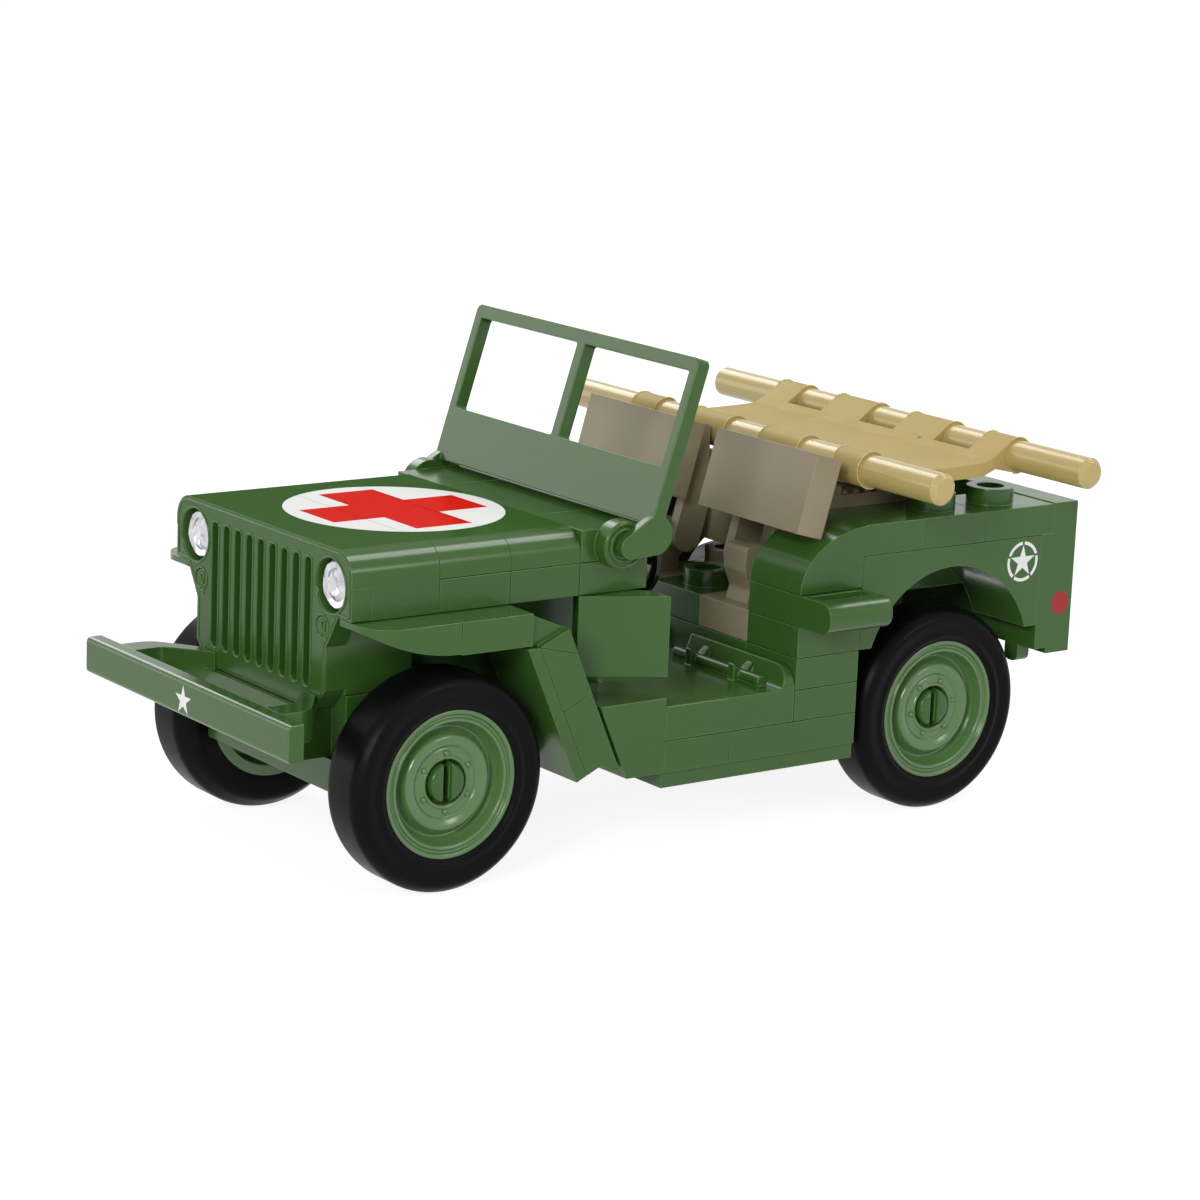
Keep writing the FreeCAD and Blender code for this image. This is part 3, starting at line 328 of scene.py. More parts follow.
# Shader nodes.
def new_group(name, inputs, outputs):
    """A shader node group whose inputs are (name, kind, default) and whose outputs are (name, kind)."""
    group = bpy.data.node_groups.new(name, "ShaderNodeTree")
    for label, kind, default in inputs:
        socket = group.interface.new_socket(name=label, in_out="INPUT", socket_type="NodeSocket" + kind)
        socket.default_value = default
    for label, kind in outputs:
        group.interface.new_socket(name=label, in_out="OUTPUT", socket_type="NodeSocket" + kind)
    return group, group.nodes.new("NodeGroupInput").outputs, group.nodes.new("NodeGroupOutput").inputs


def math_node(tree, operation, *operands):
    """A math node whose operands are numbers or sockets; returns its output."""
    node = tree.nodes.new("ShaderNodeMath")
    node.operation = operation
    for slot, value in enumerate(operands):
        if isinstance(value, (int, float)):
            node.inputs[slot].default_value = value
        else:
            tree.links.new(value, node.inputs[slot])
    return node.outputs[0]


def length(tree, first, second):
    """Length of the vector whose parts are two sockets."""
    squares = [math_node(tree, "MULTIPLY", part, part) for part in (first, second)]
    return math_node(tree, "SQRT", math_node(tree, "ADD", *squares))


def mix_colour(tree, factor, first, second):
    node = tree.nodes.new("ShaderNodeMix")
    node.data_type = "RGBA"
    tree.links.new(factor, node.inputs["Factor"])
    for socket, value in ((node.inputs[6], first), (node.inputs[7], second)):
        if isinstance(value, tuple):
            socket.default_value = (*value, 1)
        else:
            tree.links.new(value, socket)
    return node.outputs[2]


def noise(tree, scale, detail=2.0):
    """Noise on Object coordinates."""
    place = tree.nodes.new("ShaderNodeTexCoord")
    node = tree.nodes.new("ShaderNodeTexNoise")
    node.inputs["Scale"].default_value = scale
    node.inputs["Detail"].default_value = detail
    tree.links.new(place.outputs["Object"], node.inputs["Vector"])
    return node.outputs["Fac"]


def make_plastic_group():
    """Colour, roughness and normal of moulded plastic: faint flow marks, orange peel, rounded edges that are
    paled in the colour as a painted highlight.
    """
    group, given, result = new_group(
        "Moulded plastic",
        [("Color", "Color", (0.5, 0.5, 0.5, 1)), ("Roughness", "Float", 0.2), ("Flow", "Float", 0.08),
         ("Peel", "Float", 0.05), ("Edge", "Float", 0.16), ("Edge light", "Float", 1.6)],
        [("Color", "Color"), ("Roughness", "Float"), ("Normal", "Vector")])
    edge = group.nodes.new("ShaderNodeBevel")
    edge.samples = 6
    group.links.new(math_node(group, "MULTIPLY", given["Edge"], MM), edge.inputs["Radius"])
    face = group.nodes.new("ShaderNodeNewGeometry")
    match = group.nodes.new("ShaderNodeVectorMath")
    match.operation = "DOT_PRODUCT"
    group.links.new(edge.outputs["Normal"], match.inputs[0])
    group.links.new(face.outputs["Normal"], match.inputs[1])
    # Painted highlight: the colour is paled where the rounded edge's normal turns away from the face's.
    turn = math_node(group, "MULTIPLY_ADD", match.outputs["Value"], -EDGE_HIGHLIGHT_CONTRAST, EDGE_HIGHLIGHT_CONTRAST)
    painted_edge_highlight = math_node(group, "MULTIPLY", math_node(group, "MINIMUM", turn, 1.0), given["Edge light"])
    swing = math_node(group, "SUBTRACT", noise(group, FLOW_SCALE, 3), 0.5)
    shade = math_node(group, "MULTIPLY_ADD", swing, given["Flow"], 1.0)
    tint = group.nodes.new("ShaderNodeVectorMath")
    tint.operation = "SCALE"
    group.links.new(given["Color"], tint.inputs[0])
    group.links.new(math_node(group, "ADD", shade, painted_edge_highlight), tint.inputs["Scale"])
    group.links.new(tint.outputs["Vector"], result["Color"])
    rub = math_node(group, "MULTIPLY_ADD", noise(group, RUB_SCALE, 4), RUB_SPREAD, -RUB_SPREAD / 2)
    group.links.new(math_node(group, "ADD", given["Roughness"], rub), result["Roughness"])
    bump = group.nodes.new("ShaderNodeBump")
    bump.inputs["Distance"].default_value = BUMP_DISTANCE
    group.links.new(given["Peel"], bump.inputs["Strength"])
    group.links.new(noise(group, PEEL_SCALE), bump.inputs["Height"])
    group.links.new(edge.outputs["Normal"], bump.inputs["Normal"])
    group.links.new(bump.outputs["Normal"], result["Normal"])
    return group


def make_star_group():
    """1 inside a five-pointed star about the origin of U and V, with its tip along V."""
    group, given, result = new_group(
        "Star mask",
        [("U", "Float", 0.0), ("V", "Float", 0.0), ("Tip", "Float", 1.0)],
        [("Mask", "Float"), ("Radius", "Float"), ("Off tip", "Float")])
    u, v = given["U"], given["V"]
    radius = length(group, u, v)
    off_tip = math_node(group, "PINGPONG", math_node(group, "ARCTAN2", u, v), math.pi / 5)
    # The edge from a tip to its notch is a straight line, whose normal lies a fifth of a turn off the tip.
    lean = 2 * math.pi / 5
    along = math_node(group, "COSINE", math_node(group, "SUBTRACT", off_tip, lean))
    reach = math_node(group, "MULTIPLY", given["Tip"], math.cos(lean))
    inside = math_node(group, "LESS_THAN", math_node(group, "MULTIPLY", radius, along), reach)
    for socket, label in ((inside, "Mask"), (radius, "Radius"), (off_tip, "Off tip")):
        group.links.new(socket, result[label])
    return group


def apply_group(tree, group, **values):
    """Adds a group node; values are numbers, colours or sockets, by input name."""
    node = tree.nodes.new("ShaderNodeGroup")
    node.node_tree = group
    for label, value in values.items():
        socket = node.inputs[label]
        if isinstance(value, (int, float)):
            socket.default_value = value
        elif isinstance(value, tuple):
            socket.default_value = (*value, 1)
        else:
            tree.links.new(value, socket)
    return node.outputs


def new_material(name):
    material = bpy.data.materials.new(name)
    material.use_nodes = True
    return material, material.node_tree, material.node_tree.nodes["Principled BSDF"]


def object_axes(tree):
    """The X, Y and Z of Object coordinates."""
    place = tree.nodes.new("ShaderNodeTexCoord")
    split = tree.nodes.new("ShaderNodeSeparateXYZ")
    tree.links.new(place.outputs["Object"], split.inputs["Vector"])
    return split.outputs


def plastic(name, colour, specular=0.35, **look):
    """A moulded plastic. The look is given to the shared group, the specular level to the shader."""
    material, tree, shader = new_material(name)
    look = {label.replace("_", " "): value for label, value in look.items()}
    result = apply_group(tree, PLASTIC, Color=colour, **look)
    for socket, target in (("Color", "Base Color"), ("Roughness", "Roughness"), ("Normal", "Normal")):
        tree.links.new(result[socket], shader.inputs[target])
    shader.inputs["Specular IOR Level"].default_value = specular
    return material


def satin_top(name, colour):
    """Bonnet plastic, whose gloss fades where it is seen along the surface."""
    material = plastic(name, colour, specular=0.0)
    tree = material.node_tree
    shader = tree.nodes["Principled BSDF"]
    view = tree.nodes.new("ShaderNodeLayerWeight")
    fade = tree.nodes.new("ShaderNodeMapRange")
    for label, value in zip(("From Min", "From Max", "To Min", "To Max"), SATIN_FACING + SATIN_COAT):
        fade.inputs[label].default_value = value
    tree.links.new(view.outputs["Facing"], fade.inputs["Value"])
    tree.links.new(fade.outputs["Result"], shader.inputs["Coat Weight"])
    shader.inputs["Coat Roughness"].default_value = SATIN_ROUGHNESS
    return material


def printed(material, *layers):
    """Prints layers on a plastic material, first one lowest. A layer is a mask maker and a colour."""
    tree = material.node_tree
    shader = tree.nodes["Principled BSDF"]
    colour = shader.inputs["Base Color"].links[0].from_socket
    for mask, ink in layers:
        colour = mix_colour(tree, mask(tree), colour, ink)
    tree.links.new(colour, shader.inputs["Base Color"])
    return material


# Masks of the printed figures.
def within(tree, value, centre, reach):
    """1 where a value lies within reach of a centre."""
    off = math_node(tree, "ABSOLUTE", math_node(tree, "SUBTRACT", value, centre))
    return math_node(tree, "LESS_THAN", off, reach)


def within_circle(tree, first, second, centre, radius):
    """1 within a circle in the plane of two axes."""
    parts = [math_node(tree, "SUBTRACT", axis, middle) for axis, middle in zip((first, second), centre)]
    return math_node(tree, "LESS_THAN", length(tree, *parts), radius)


def on_skin(tree, value, face):
    """1 within the print's depth of a face, where the value is measured outwards."""
    return math_node(tree, "GREATER_THAN", value, face - PRINT_DEPTH)


def disc_mask(tree):
    x, y, z = object_axes(tree)
    disc = within_circle(tree, x, y, (DISC_CENTRE, 0), DISC_RADIUS)
    return math_node(tree, "MULTIPLY", on_skin(tree, z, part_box("bonnet_rear")[1].z), disc)


def cross_mask(tree):
    x, y, z = object_axes(tree)
    bars = [math_node(tree, "MULTIPLY", within(tree, x, DISC_CENTRE, long), within(tree, y, 0, wide))
            for long, wide in ((CROSS_REACH, CROSS_ARM), (CROSS_ARM, CROSS_REACH))]
    cross = math_node(tree, "MAXIMUM", *bars)
    return math_node(tree, "MULTIPLY", on_skin(tree, z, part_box("bonnet_rear")[1].z), cross)


def bumper_star_mask(tree):
    x, y, z = object_axes(tree)
    rise = math_node(tree, "SUBTRACT", z, BUMPER_STAR_HEIGHT)
    star = apply_group(tree, STAR, U=y, V=rise, Tip=BUMPER_STAR_TIP)
    return math_node(tree, "MULTIPLY", on_skin(tree, x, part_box("bumper")[1].x), star["Mask"])


def side_star_mask(tree):
    """A star in a ring that is broken at the star's tips, on both sides of the tail."""
    x, y, z = object_axes(tree)
    along = math_node(tree, "SUBTRACT", x, RING_CENTRE[0])
    rise = math_node(tree, "SUBTRACT", z, RING_CENTRE[1])
    star = apply_group(tree, STAR, U=along, V=rise, Tip=RING_STAR_TIP)
    ring = within(tree, star["Radius"], RING_RADIUS - RING_WIDTH / 2, RING_WIDTH / 2)
    open_part = math_node(tree, "GREATER_THAN", star["Off tip"], RING_BREAK)
    figure = math_node(tree, "MAXIMUM", star["Mask"], math_node(tree, "MULTIPLY", ring, open_part))
    side = math_node(tree, "ABSOLUTE", y)
    return math_node(tree, "MULTIPLY", on_skin(tree, side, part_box("rear_arches")[1].y), figure)


def reflector_mask(tree):
    x, y, z = object_axes(tree)
    dot = within_circle(tree, x, z, REFLECTOR_CENTRE, REFLECTOR_RADIUS)
    side = math_node(tree, "ABSOLUTE", y)
    return math_node(tree, "MULTIPLY", on_skin(tree, side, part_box("tail_wall")[1].y), dot)


def lamp_silver():
    """Silvered facets under a clear lens, with reflections in the facets painted into the colour as a grey
    and white mottle.
    """
    material, tree, shader = new_material("Lamp silver")
    # Painted reflection: noise mottles the silver's colour between a dark grey and white.
    silver = mix_colour(tree, noise(tree, SILVER_SCALE, 4), PAINTED_FACET_SHADE, PAINTED_FACET_GLINT)
    tree.links.new(silver, shader.inputs["Base Color"])
    shader.inputs["Metallic"].default_value = SILVER_METAL
    rub = noise(tree, SILVER_RUB_SCALE, 2)
    rough = math_node(tree, "MULTIPLY_ADD", rub, SILVER_RUB_SPREAD, SILVER_ROUGHNESS)
    tree.links.new(rough, shader.inputs["Roughness"])
    shader.inputs["Coat Weight"].default_value = SILVER_COAT
    return material


PLASTIC = make_plastic_group()
STAR = make_star_group()
# Every plastic pales its edges in its colour as a painted highlight, by the group's default amount or by the
# amount given here.
LOOKS = {
    "green_plastic": plastic("Green plastic", GREEN),
    "rim_plastic": plastic("Rim plastic", RIM_GREEN, specular=0.6, Roughness=0.2, Edge=0.1),
    "tan_plastic": plastic("Tan plastic", TAN, specular=0.25, Roughness=0.34, Edge_light=0.5),
    "sand_plastic": plastic("Sand plastic", SAND, specular=0.55, Roughness=0.2, Flow=0.12, Peel=0.06,
                            Edge_light=0.4),
    "black_plastic": plastic("Black plastic", BLACK, Roughness=0.22),
    "clear_plastic": lamp_silver(),
    "tyre_rubber": plastic("Tyre rubber", BLACK, specular=0.06, Roughness=0.34, Flow=0.3, Peel=0.1),
}


def dress_nodes():
    """Gives every CAD node its material."""
    bonnet = printed(satin_top("Bonnet print", GREEN), (disc_mask, WHITE_INK), (cross_mask, RED_INK))
    own = {name: bonnet for name in ("bonnet_rear", "bonnet_mid", "nose")}
    own["bumper"] = printed(plastic("Bumper print", GREEN, Edge=0.24), (bumper_star_mask, WHITE_INK))
    own["rear_arches"] = printed(plastic("Side print", GREEN), (side_star_mask, WHITE_INK))
    own["tail_wall"] = printed(plastic("Reflector print", GREEN), (reflector_mask, REFLECTOR_RED))
    own["windscreen"] = plastic("Windscreen plastic", GREEN, Edge=0.28)
    own["door_floors"] = plastic("Door floor plastic", GREEN, Edge=0.3)
    for part in frame["record"]["subparts"]:
        mesh = NODES[part["node"]].data
        look = own.get(part["node"], LOOKS[part["material_slot"]])
        if not mesh.materials:
            mesh.materials.append(look)
        for slot in range(len(mesh.materials)):
            mesh.materials[slot] = look


# Ways of making a piece.
def rounded(corners, steps=6):
    """A closed outline in which a corner's third number rounds it."""
    points = []
    for n, corner in enumerate(corners):
        place = Vector(corner[:2])
        if len(corner) == 2:
            points.append(place)
            continue
        back = Vector(corners[n - 1][:2]) - place
        ahead = Vector(corners[(n + 1) % len(corners)][:2]) - place
        reach = min(corner[2] / math.tan(back.angle(ahead) / 2), 0.49 * back.length, 0.49 * ahead.length)
        start, end = place + back.normalized() * reach, place + ahead.normalized() * reach
        for step in range(steps + 1):
            t = step / steps
            points.append(start * (1 - t) ** 2 + place * (2 * t * (1 - t)) + end * t ** 2)
    return points


def loft(mesh, rings, closed=False):
    """Joins rings of points with faces, and caps the ends unless the rings close on themselves."""
    rows = [[mesh.verts.new(point) for point in ring] for ring in rings]
    for first, second in zip(rows, rows[1:] + (rows[:1] if closed else [])):
        for n in range(len(first)):
            mesh.faces.new((first[n - 1], first[n], second[n], second[n - 1]))
    if not closed:
        mesh.faces.new(rows[0])
        mesh.faces.new(rows[-1][::-1])


def piece(name, mesh, body, slot, replaced=(), sharp=32, look=None):
    """Makes an object of a finished mesh, which rides on a body."""
    bmesh.ops.remove_doubles(mesh, verts=mesh.verts, dist=1e-6)
    bmesh.ops.recalc_face_normals(mesh, faces=mesh.faces)
    data = bpy.data.meshes.new(name)
    mesh.to_mesh(data)
    mesh.free()
    data.polygons.foreach_set("use_smooth", [True] * len(data.polygons))
    data.set_sharp_from_angle(angle=math.radians(sharp))
    data.materials.append(look or LOOKS[slot])
    item = bpy.data.objects.new(name, data)
    SCENE.collection.objects.link(item)
    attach(item, body)
    if replaced:
        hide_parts(*replaced)
    return item


def turned(mesh, section, axle, side, turns=128):
    """Turns a half section about an axle along Y. Side is 1 for the car's left and -1 for its right."""
    points = [point * MM for point in rounded(section)]
    rings = []
    for step in range(turns):
        angle = 2 * math.pi * step / turns
        rings.append([axle + Vector((radius * math.cos(angle), side * out, radius * math.sin(angle)))
                      for radius, out in points])
    loft(mesh, rings, closed=True)


# Geometry Nodes.
def new_tree(name, inputs):
    """A Geometry Nodes tree from a guide mesh to a finished one; inputs are (name, kind, default)."""
    tree = bpy.data.node_groups.new(name, "GeometryNodeTree")
    tree.interface.new_socket(name="Guide", in_out="INPUT", socket_type="NodeSocketGeometry")
    for label, kind, default in inputs:
        socket = tree.interface.new_socket(name=label, in_out="INPUT", socket_type="NodeSocket" + kind)
        socket.default_value = default
    tree.interface.new_socket(name="Finish", in_out="INPUT", socket_type="NodeSocketMaterial")
    tree.interface.new_socket(name="Mesh", in_out="OUTPUT", socket_type="NodeSocketGeometry")
    return tree, tree.nodes.new("NodeGroupInput").outputs


def tree_end(tree, given, geometry):
    """Closes a tree: real geometry, its material and smooth shading."""
    real = tree.nodes.new("GeometryNodeRealizeInstances")
    smooth = tree.nodes.new("GeometryNodeSetShadeSmooth")
    finish = tree.nodes.new("GeometryNodeSetMaterial")
    result = tree.nodes.new("NodeGroupOutput")
    tree.links.new(geometry, smooth.inputs["Geometry"])
    tree.links.new(smooth.outputs["Geometry"], real.inputs["Geometry"])
    tree.links.new(real.outputs["Geometry"], finish.inputs["Geometry"])
    tree.links.new(given["Finish"], finish.inputs["Material"])
    tree.links.new(finish.outputs["Geometry"], result.inputs["Mesh"])


def make_bead_tree():
    """A round bead along every edge line of the guide."""
    tree, given = new_tree("Bead", [("Bead radius", "Float", 0.2 * MM), ("Bead sides", "Int", 10)])
    curve = tree.nodes.new("GeometryNodeMeshToCurve")
    profile = tree.nodes.new("GeometryNodeCurvePrimitiveCircle")
    sweep = tree.nodes.new("GeometryNodeCurveToMesh")
    sweep.inputs["Fill Caps"].default_value = True
    tree.links.new(given["Guide"], curve.inputs["Mesh"])
    tree.links.new(given["Bead radius"], profile.inputs["Radius"])
    tree.links.new(given["Bead sides"], profile.inputs["Resolution"])
    tree.links.new(curve.outputs["Curve"], sweep.inputs["Curve"])
    tree.links.new(profile.outputs["Curve"], sweep.inputs["Profile Curve"])
    tree_end(tree, given, sweep.outputs["Mesh"])
    return tree


def make_rivet_tree():
    """A low domed rivet on every point of the guide, flattened along Y."""
    inputs = [("Rivet radius", "Float", RIVET_RADIUS), ("Rivet height", "Float", RIVET_HEIGHT)]
    tree, given = new_tree("Rivets", inputs)
    head = tree.nodes.new("GeometryNodeMeshUVSphere")
    head.inputs["Segments"].default_value = RIVET_SEGMENTS
    head.inputs["Rings"].default_value = RIVET_LAYERS
    squash = tree.nodes.new("ShaderNodeCombineXYZ")
    for axis, label in (("X", "Rivet radius"), ("Y", "Rivet height"), ("Z", "Rivet radius")):
        tree.links.new(given[label], squash.inputs[axis])
    spread = tree.nodes.new("GeometryNodeInstanceOnPoints")
    tree.links.new(given["Guide"], spread.inputs["Points"])
    tree.links.new(head.outputs["Mesh"], spread.inputs["Instance"])
    tree.links.new(squash.outputs["Vector"], spread.inputs["Scale"])
    tree_end(tree, given, spread.outputs["Instances"])
    return tree


def grown(name, tree, lines, body, slot, **values):
    """Runs a tree on lines of points, which are closed where their last point is their first."""
    points, edges = [], []
    for line in lines:
        ring = len(line) > 2 and line[0] == line[-1]
        line = line[:-1] if ring else line
        first = len(points)
        points += line
        edges += [(first + n, first + n + 1) for n in range(len(line) - 1)]
        edges += [(first + len(line) - 1, first)] if ring else []
    guide = bpy.data.meshes.new(name + "_guide")
    guide.from_pydata(points, edges, [])
    item = bpy.data.objects.new(name, guide)
    SCENE.collection.objects.link(item)
    modifier = item.modifiers.new(tree.name, "NODES")
    modifier.node_group = tree
    values = {label.replace("_", " "): value for label, value in values.items()}
    values["Finish"] = LOOKS[slot]
    for socket in tree.interface.items_tree:
        if socket.in_out == "INPUT" and socket.name in values:
            modifier[socket.identifier] = values[socket.name]
    result = bpy.data.meshes.new_from_object(item.evaluated_get(bpy.context.evaluated_depsgraph_get()))
    item.modifiers.remove(modifier)
    item.data = result
    result.name = name
    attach(item, body)
    return item


BEAD = make_bead_tree()
RIVET = make_rivet_tree()


def ring_line(centre, radius, plane, points=48):
    """A closed circle in the plane of two axes."""
    line = []
    for n in range(points):
        angle = 2 * math.pi * n / points
        offset = {plane[0]: radius * math.cos(angle), plane[1]: radius * math.sin(angle)}
        line.append(Vector(centre) + Vector([offset.get(axis, 0.0) for axis in "xyz"]))
    return line + line[:1]


# Wheels.
def build_wheels():
    for end in ("rear", "front"):
        turn = REAR_TURN if end == "rear" else 0.0
        for side_name, side in (("left", 1), ("right", -1)):
            name = f"{end}_{side_name}"
            low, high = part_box(name + "_tyre")
            middle = (low + high) / 2
            inner = min(abs(low.y), abs(high.y))
            axle = Vector((middle.x, side * inner, middle.z))
            body = "wheel_" + name
            tyre = bmesh.new()
            turned(tyre, TYRE_SECTION, axle, side)
            piece(name + "_tyre_rubber", tyre, body, "tyre_rubber", (name + "_tyre",))
            rim = bmesh.new()
            turned(rim, RIM_SECTION, axle, side)
            piece(name + "_rim_dish", rim, body, "rim_plastic", (name + "_rim",), sharp=40)
            seat = axle + Vector((0, side * RIVET_SEAT, 0))
            heads = []
            for n in range(RIVETS):
                angle = turn + n * math.tau / RIVETS
                heads.append([seat + Vector((-side * math.sin(angle), 0, math.cos(angle))) * RIVET_RING])
            grown(name + "_rim_rivets", RIVET, heads, body, "rim_plastic",
                  Rivet_radius=RIVET_RADIUS, Rivet_height=RIVET_HEIGHT)


def build_axle_clips():
    """The split, domed ends of the pins that hold the wheels."""
    mesh = bmesh.new()
    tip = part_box("chassis")[1].y
    start = math.acos(CLIP_SPLIT / CLIP_RADIUS)
    angles = [start - 2 * start * n / CLIP_STEPS for n in range(CLIP_STEPS + 1)]
    half = [Vector((CLIP_RADIUS * math.cos(angle), CLIP_RADIUS * math.sin(angle))) for angle in angles]
    middle = Vector(((CLIP_SPLIT + CLIP_RADIUS) / 2, 0))
    layers = [(-CLIP_DEPTH, 1.0)] + [(CLIP_PROUD - drop * MM, size) for drop, size in CLIP_DOME]
    for end in ("rear", "front"):
        low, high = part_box(end + "_left_tyre")
        axle = (low + high) / 2
        for side in (1, -1):
            for hand in (1, -1):
                rings = []
                for along, size in layers:
                    y = side * (tip + along)
                    ring = [middle + (point - middle) * size for point in half]
                    rings.append([Vector((axle.x + hand * p.x, y, axle.z + p.y)) for p in ring])
                loft(mesh, rings)
    piece("axle_clips", mesh, "car", "green_plastic", sharp=50)


# Nose.
def build_nose_trim():
    """Beads that round the edges of the slots, the face and the lamps, and the marker lamps' lines."""
    low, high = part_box("nose")
    front, foot = high.x, low.z
    lines = []
    for n in range(-4, 5):
        middle = n * SLOT_PITCH
        left, right = middle - SLOT_HALF, middle + SLOT_HALF
        corners = ((left, SLOT_FOOT), (right, SLOT_FOOT), (right, SLOT_HEAD), (left, SLOT_HEAD))
        outline = rounded([(*corner, SLOT_ROUNDING) for corner in corners])
        line = [Vector((front - SLOT_SINK, p.x * MM, foot + p.y * MM)) for p in outline]
        lines.append(line + line[:1])
    grown("slot_rims", BEAD, lines, "car", "green_plastic", Bead_radius=SLOT_BEAD)

    outline = rounded(FACE_SIDE + [(-corner[0], *corner[1:]) for corner in reversed(FACE_SIDE)])
    line = [Vector((front - FACE_SINK, p.x * MM, foot + p.y * MM)) for p in outline]
    grown("face_border", BEAD, [line], "car", "green_plastic", Bead_radius=FACE_BEAD)

    low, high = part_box("headlamps")
    lamp_z = (low.z + high.z) / 2
    lamp_y = high.y - (high.z - low.z) / 2
    rings = [ring_line((front - LAMP_SINK, hand * lamp_y, lamp_z), LAMP_RIM_RADIUS * MM, "yz")
             for hand in (1, -1)]
    grown("lamp_rims", BEAD, rings, "car", "green_plastic", Bead_radius=LAMP_BEAD)

    lines = []
    for hand in (1, -1):
        y, z = hand * MARKER_HALF * MM, lamp_z - MARKER_DROP * MM
        lines.append(ring_line((front - MARKER_SINK, y, z), MARKER_RADIUS * MM, "yz", MARKER_STEPS))
        for points in MARKER_LINES:
            lines.append([Vector((front, y + u * MM, z + w * MM)) for u, w in points])
    grown("marker_lamps", BEAD, lines, "car", "green_plastic", Bead_radius=MARKER_BEAD)


def build_headlamps():
    """Cut lenses: rings of facets that step up to a crown, in bowls of the nose."""
    low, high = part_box("headlamps")
    radius = (high.z - low.z) / 2
    lamp_z, lamp_y = (low.z + high.z) / 2, high.y - radius
    mesh = bmesh.new()
    for hand in (1, -1):
        rows = []
        for size, rise, odd in LENS_RINGS:
            row = []
            for n in range(LENS_FACETS):
                angle = (n + odd / 2) * math.tau / LENS_FACETS
                wave = 1 + (LENS_WAVE * math.sin(5 * angle + 3 * size) if rise > LENS_WAVE_FROM else 0)
                row.append(Vector((low.x + (high.x - low.x) * rise * wave,
                                   hand * (lamp_y + radius * size * math.cos(angle)),
                                   lamp_z + radius * size * math.sin(angle))))
            rows.append(row)
        loft(mesh, rows)
    bmesh.ops.triangulate(mesh, faces=mesh.faces)
    piece("lamp_lenses", mesh, "car", "clear_plastic", ("headlamps",), sharp=8)


# Windscreen hinge, stretcher and bench.
def build_hinge_rings():
    low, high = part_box("cowl_upper")
    lines = []
    for side in (1, -1):
        centre = ((low.x + high.x) / 2, side * (high.y - HINGE_SINK), HINGE_HEIGHT)
        lines += [ring_line(centre, radius, "xz") for radius in HINGE_RINGS]
    grown("hinge_rings", BEAD, lines, "car", "green_plastic", Bead_radius=HINGE_BEAD)


def wrap(point, radius):
    """Angle at which a line from a point touches a circle about the origin, on the upper side."""
    return math.atan2(point[1], point[0]) + math.acos(radius / math.hypot(*point))


def add_sheet(mesh, start, span, axis, half):
    """The sheet between the poles, with a soft crease along the straps."""
    rings = []
    for step in range(2 * SHEET_STEPS + 1):
        y = half * (step / SHEET_STEPS - 1)
        crease = CREASE + CREASE_SWING * math.sin(y * CREASE_WAVES[0]) * math.sin(y * CREASE_WAVES[1] + 1)
        near = [(SHEET_EDGE, SHEET_RISE)]
        near += [(crease + past, SHEET_RISE - fall) for past, fall in SHEET_FALL]
        near.append((span / 2, SHEET_RISE - SHEET_MIDDLE_FALL))
        top = near + [(span - u, z) for u, z in reversed(near[:-1])]
        under = [(u, z - SHEET_THICK) for u, z in reversed(top)]
        rings.append([Vector((start + u, y, axis + z)) for u, z in top + under])
    loft(mesh, rings)


def add_pins(mesh, axis):
    """Round pins under the sheet's corners, which enter the open studs."""
    x, y = PIN_PLACE
    angles = [math.tau * n / PIN_STEPS for n in range(PIN_STEPS)]
    for side in (1, -1):
        loft(mesh, [[Vector((x + radius * math.cos(angle), side * y + radius * math.sin(angle), axis - drop))
                     for angle in angles] for radius, drop in PIN_RINGS])


def build_stretcher_sheet():
    """A moulded sheet between the poles, held by straps round them, with beads along the straps' edges."""
    low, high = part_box("stretcher_poles")
    radius = (high.z - low.z) / 2
    poles = ((low.x + radius, 1), (high.x - radius, -1))
    axis = (low.z + high.z) / 2
    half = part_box("stretcher_cloth")[1].y
    mesh = bmesh.new()
    add_sheet(mesh, poles[0][0], poles[1][0] - poles[0][0], axis, half)
    outer = radius + STRAP_THICK
    touch = wrap((SHEET_EDGE, SHEET_RISE), outer)
    sweep = math.tau - wrap((SHEET_EDGE, SHEET_THICK - SHEET_RISE), outer) - touch

    def loop(steps):
        """Points round a pole, from where the strap touches it to where it leaves it."""
        angles = [touch + sweep * step / steps for step in range(steps + 1)]
        return [(outer * math.cos(angle), outer * math.sin(angle)) for angle in angles]

    foot = SHEET_RISE - SHEET_THICK
    band = [(SHEET_EDGE + STRAP_TUCK, SHEET_RISE - TUCK_TOP), (SHEET_EDGE, SHEET_RISE)] + loop(STRAP_STEPS)
    band += [(SHEET_EDGE, foot), (SHEET_EDGE + STRAP_TUCK, foot + TUCK_FOOT)]
    rims = []
    for x, way in poles:
        for start, end in STRAPS:
            for side in (1, -1):
                ends = [side * start, side * min(end, half - STRAP_SHORT)]
                loft(mesh, [[Vector((x + way * u, y, axis + z)) for u, z in band] for y in ends])
            for edge in (start + STRAP_RIM_INSET, end - STRAP_RIM_INSET):
                for y in (min(edge, half), -min(edge, half)):
                    rims.append([Vector((x + way * u, y, axis + z)) for u, z in loop(STRAP_RIM_STEPS)])
    add_pins(mesh, axis)
    # The sheet's edges are paled in its colour as a painted highlight too.
    cloth = plastic("Sheet plastic", SHEET_SAND, specular=0.06, Roughness=0.4, Flow=0.16, Peel=0.2,
                    Edge_light=0.5)
    piece("stretcher_sheet", mesh, "stretcher", "sand_plastic", ("stretcher_cloth",), sharp=24, look=cloth)
    grown("strap_rims", BEAD, rims, "stretcher", "sand_plastic", Bead_radius=STRAP_BEAD, Bead_sides=8)


# Pieces round the front wheels.
def prism(mesh, outline, start, end):
    """A block whose outline lies along the car, between two distances from its middle line, on both sides."""
    for side in (1, -1):
        loft(mesh, [[Vector((x * MM, side * y * MM, z * MM)) for x, z in outline] for y in (start, end)])


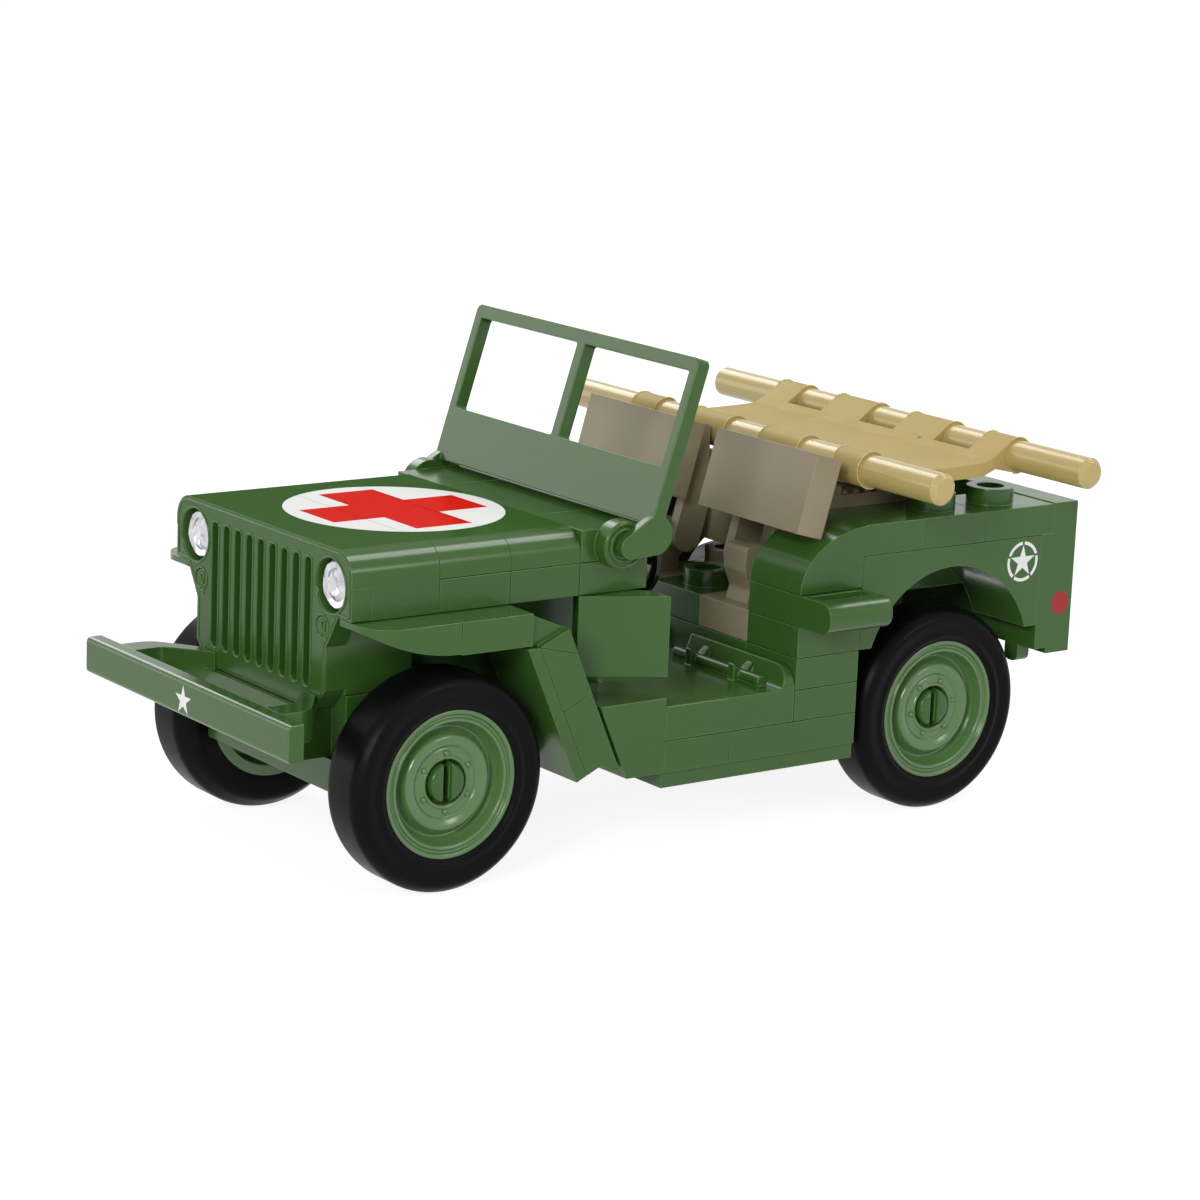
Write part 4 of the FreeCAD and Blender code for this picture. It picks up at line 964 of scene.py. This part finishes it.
def build_fenders():
    """Front fenders that thin out and round off towards the nose."""
    low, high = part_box("front_fenders")
    nose_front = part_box("nose")[1].x
    tip = nose_front - FENDER_TIP_SHORT
    step_x = FACE_BACK + FENDER_GAP
    stations = [FENDER_SEAM + FENDER_GAP + (FACE_BACK - FENDER_SEAM) * n / FENDER_STEPS
                for n in range(FENDER_STEPS + 1)]
    quarter = [math.sin(math.pi / 2 * n / TIP_STEPS) for n in range(TIP_STEPS + 1)]
    stations += [step_x + (tip - step_x) * share for share in quarter]
    mesh = bmesh.new()
    for side in (1, -1):
        rings = []
        for x in stations:
            inside = FENDER_INNER * MM if x < FACE_BACK + FENDER_GAP / 2 else FACE_HALF
            bend = max(0.0, (x - FENDER_BEND) / (tip - FENDER_BEND))
            turn_in = 1 - math.sqrt(max(0.0, 1 - bend ** FENDER_BEND_POWER))
            outside = high.y - (high.y - FENDER_TIP_HALF) * turn_in
            under = low.z + FENDER_LIFT + FENDER_RISE * ((x - FENDER_SEAM) / (nose_front - FENDER_SEAM)) ** 2
            corners = ((inside, under), (outside, under), (outside, high.z), (inside, high.z))
            rings.append([Vector((x, side * y, z)) for y, z in corners])
        loft(mesh, rings)
    front = (FENDER_SEAM - FENDER_GAP) / MM
    bottom, top = low.z / MM, high.z / MM
    block = [(FENDER_REAR, bottom), (front, bottom), (front, top), (FENDER_REAR, top)]
    prism(mesh, block, FENDER_INNER, FENDER_OUTER)
    piece("fender_shells", mesh, "car", "green_plastic", ("front_fenders",), sharp=30)


def build_cheeks():
    """Small closures of the nose's face beside the lamps."""
    nose_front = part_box("nose")[1].x
    mesh = bmesh.new()
    for side in (1, -1):
        loft(mesh, [[Vector((x, side * y * MM, z * MM)) for y, z in CHEEK]
                    for x in (nose_front - CHEEK_DEPTH, nose_front - CHEEK_SHORT)])
    piece("nose_cheeks", mesh, "car", "green_plastic")


def build_slab_heads():
    """Pointed heads of the slanted slabs, under the fenders' rear ends."""
    mesh = bmesh.new()
    prism(mesh, SLAB_NECK, *SLAB_NECK_REACH)
    prism(mesh, SLAB_HEAD, FENDER_INNER, FENDER_OUTER)
    piece("slab_heads", mesh, "car", "green_plastic")


def build_bench_ribs():
    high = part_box("rear_cushion")[1]
    lines = []
    for n in range(BENCH_RIBS):
        x = high.x - BENCH_RIB_START - BENCH_RIB_PITCH * n
        lines.append([Vector((x, side * BENCH_RIB_HALF, high.z - BENCH_RIB_SINK)) for side in (-1, 1)])
    grown("bench_ribs", BEAD, lines, "car", "tan_plastic", Bead_radius=BENCH_RIB_RADIUS)


add_camera()
add_studio()
dress_nodes()
build_wheels()
build_axle_clips()
build_nose_trim()
build_headlamps()
build_hinge_rings()
build_stretcher_sheet()
build_fenders()
build_cheeks()
build_slab_heads()
build_bench_ribs()

SCENE.view_settings.view_transform = "Standard"
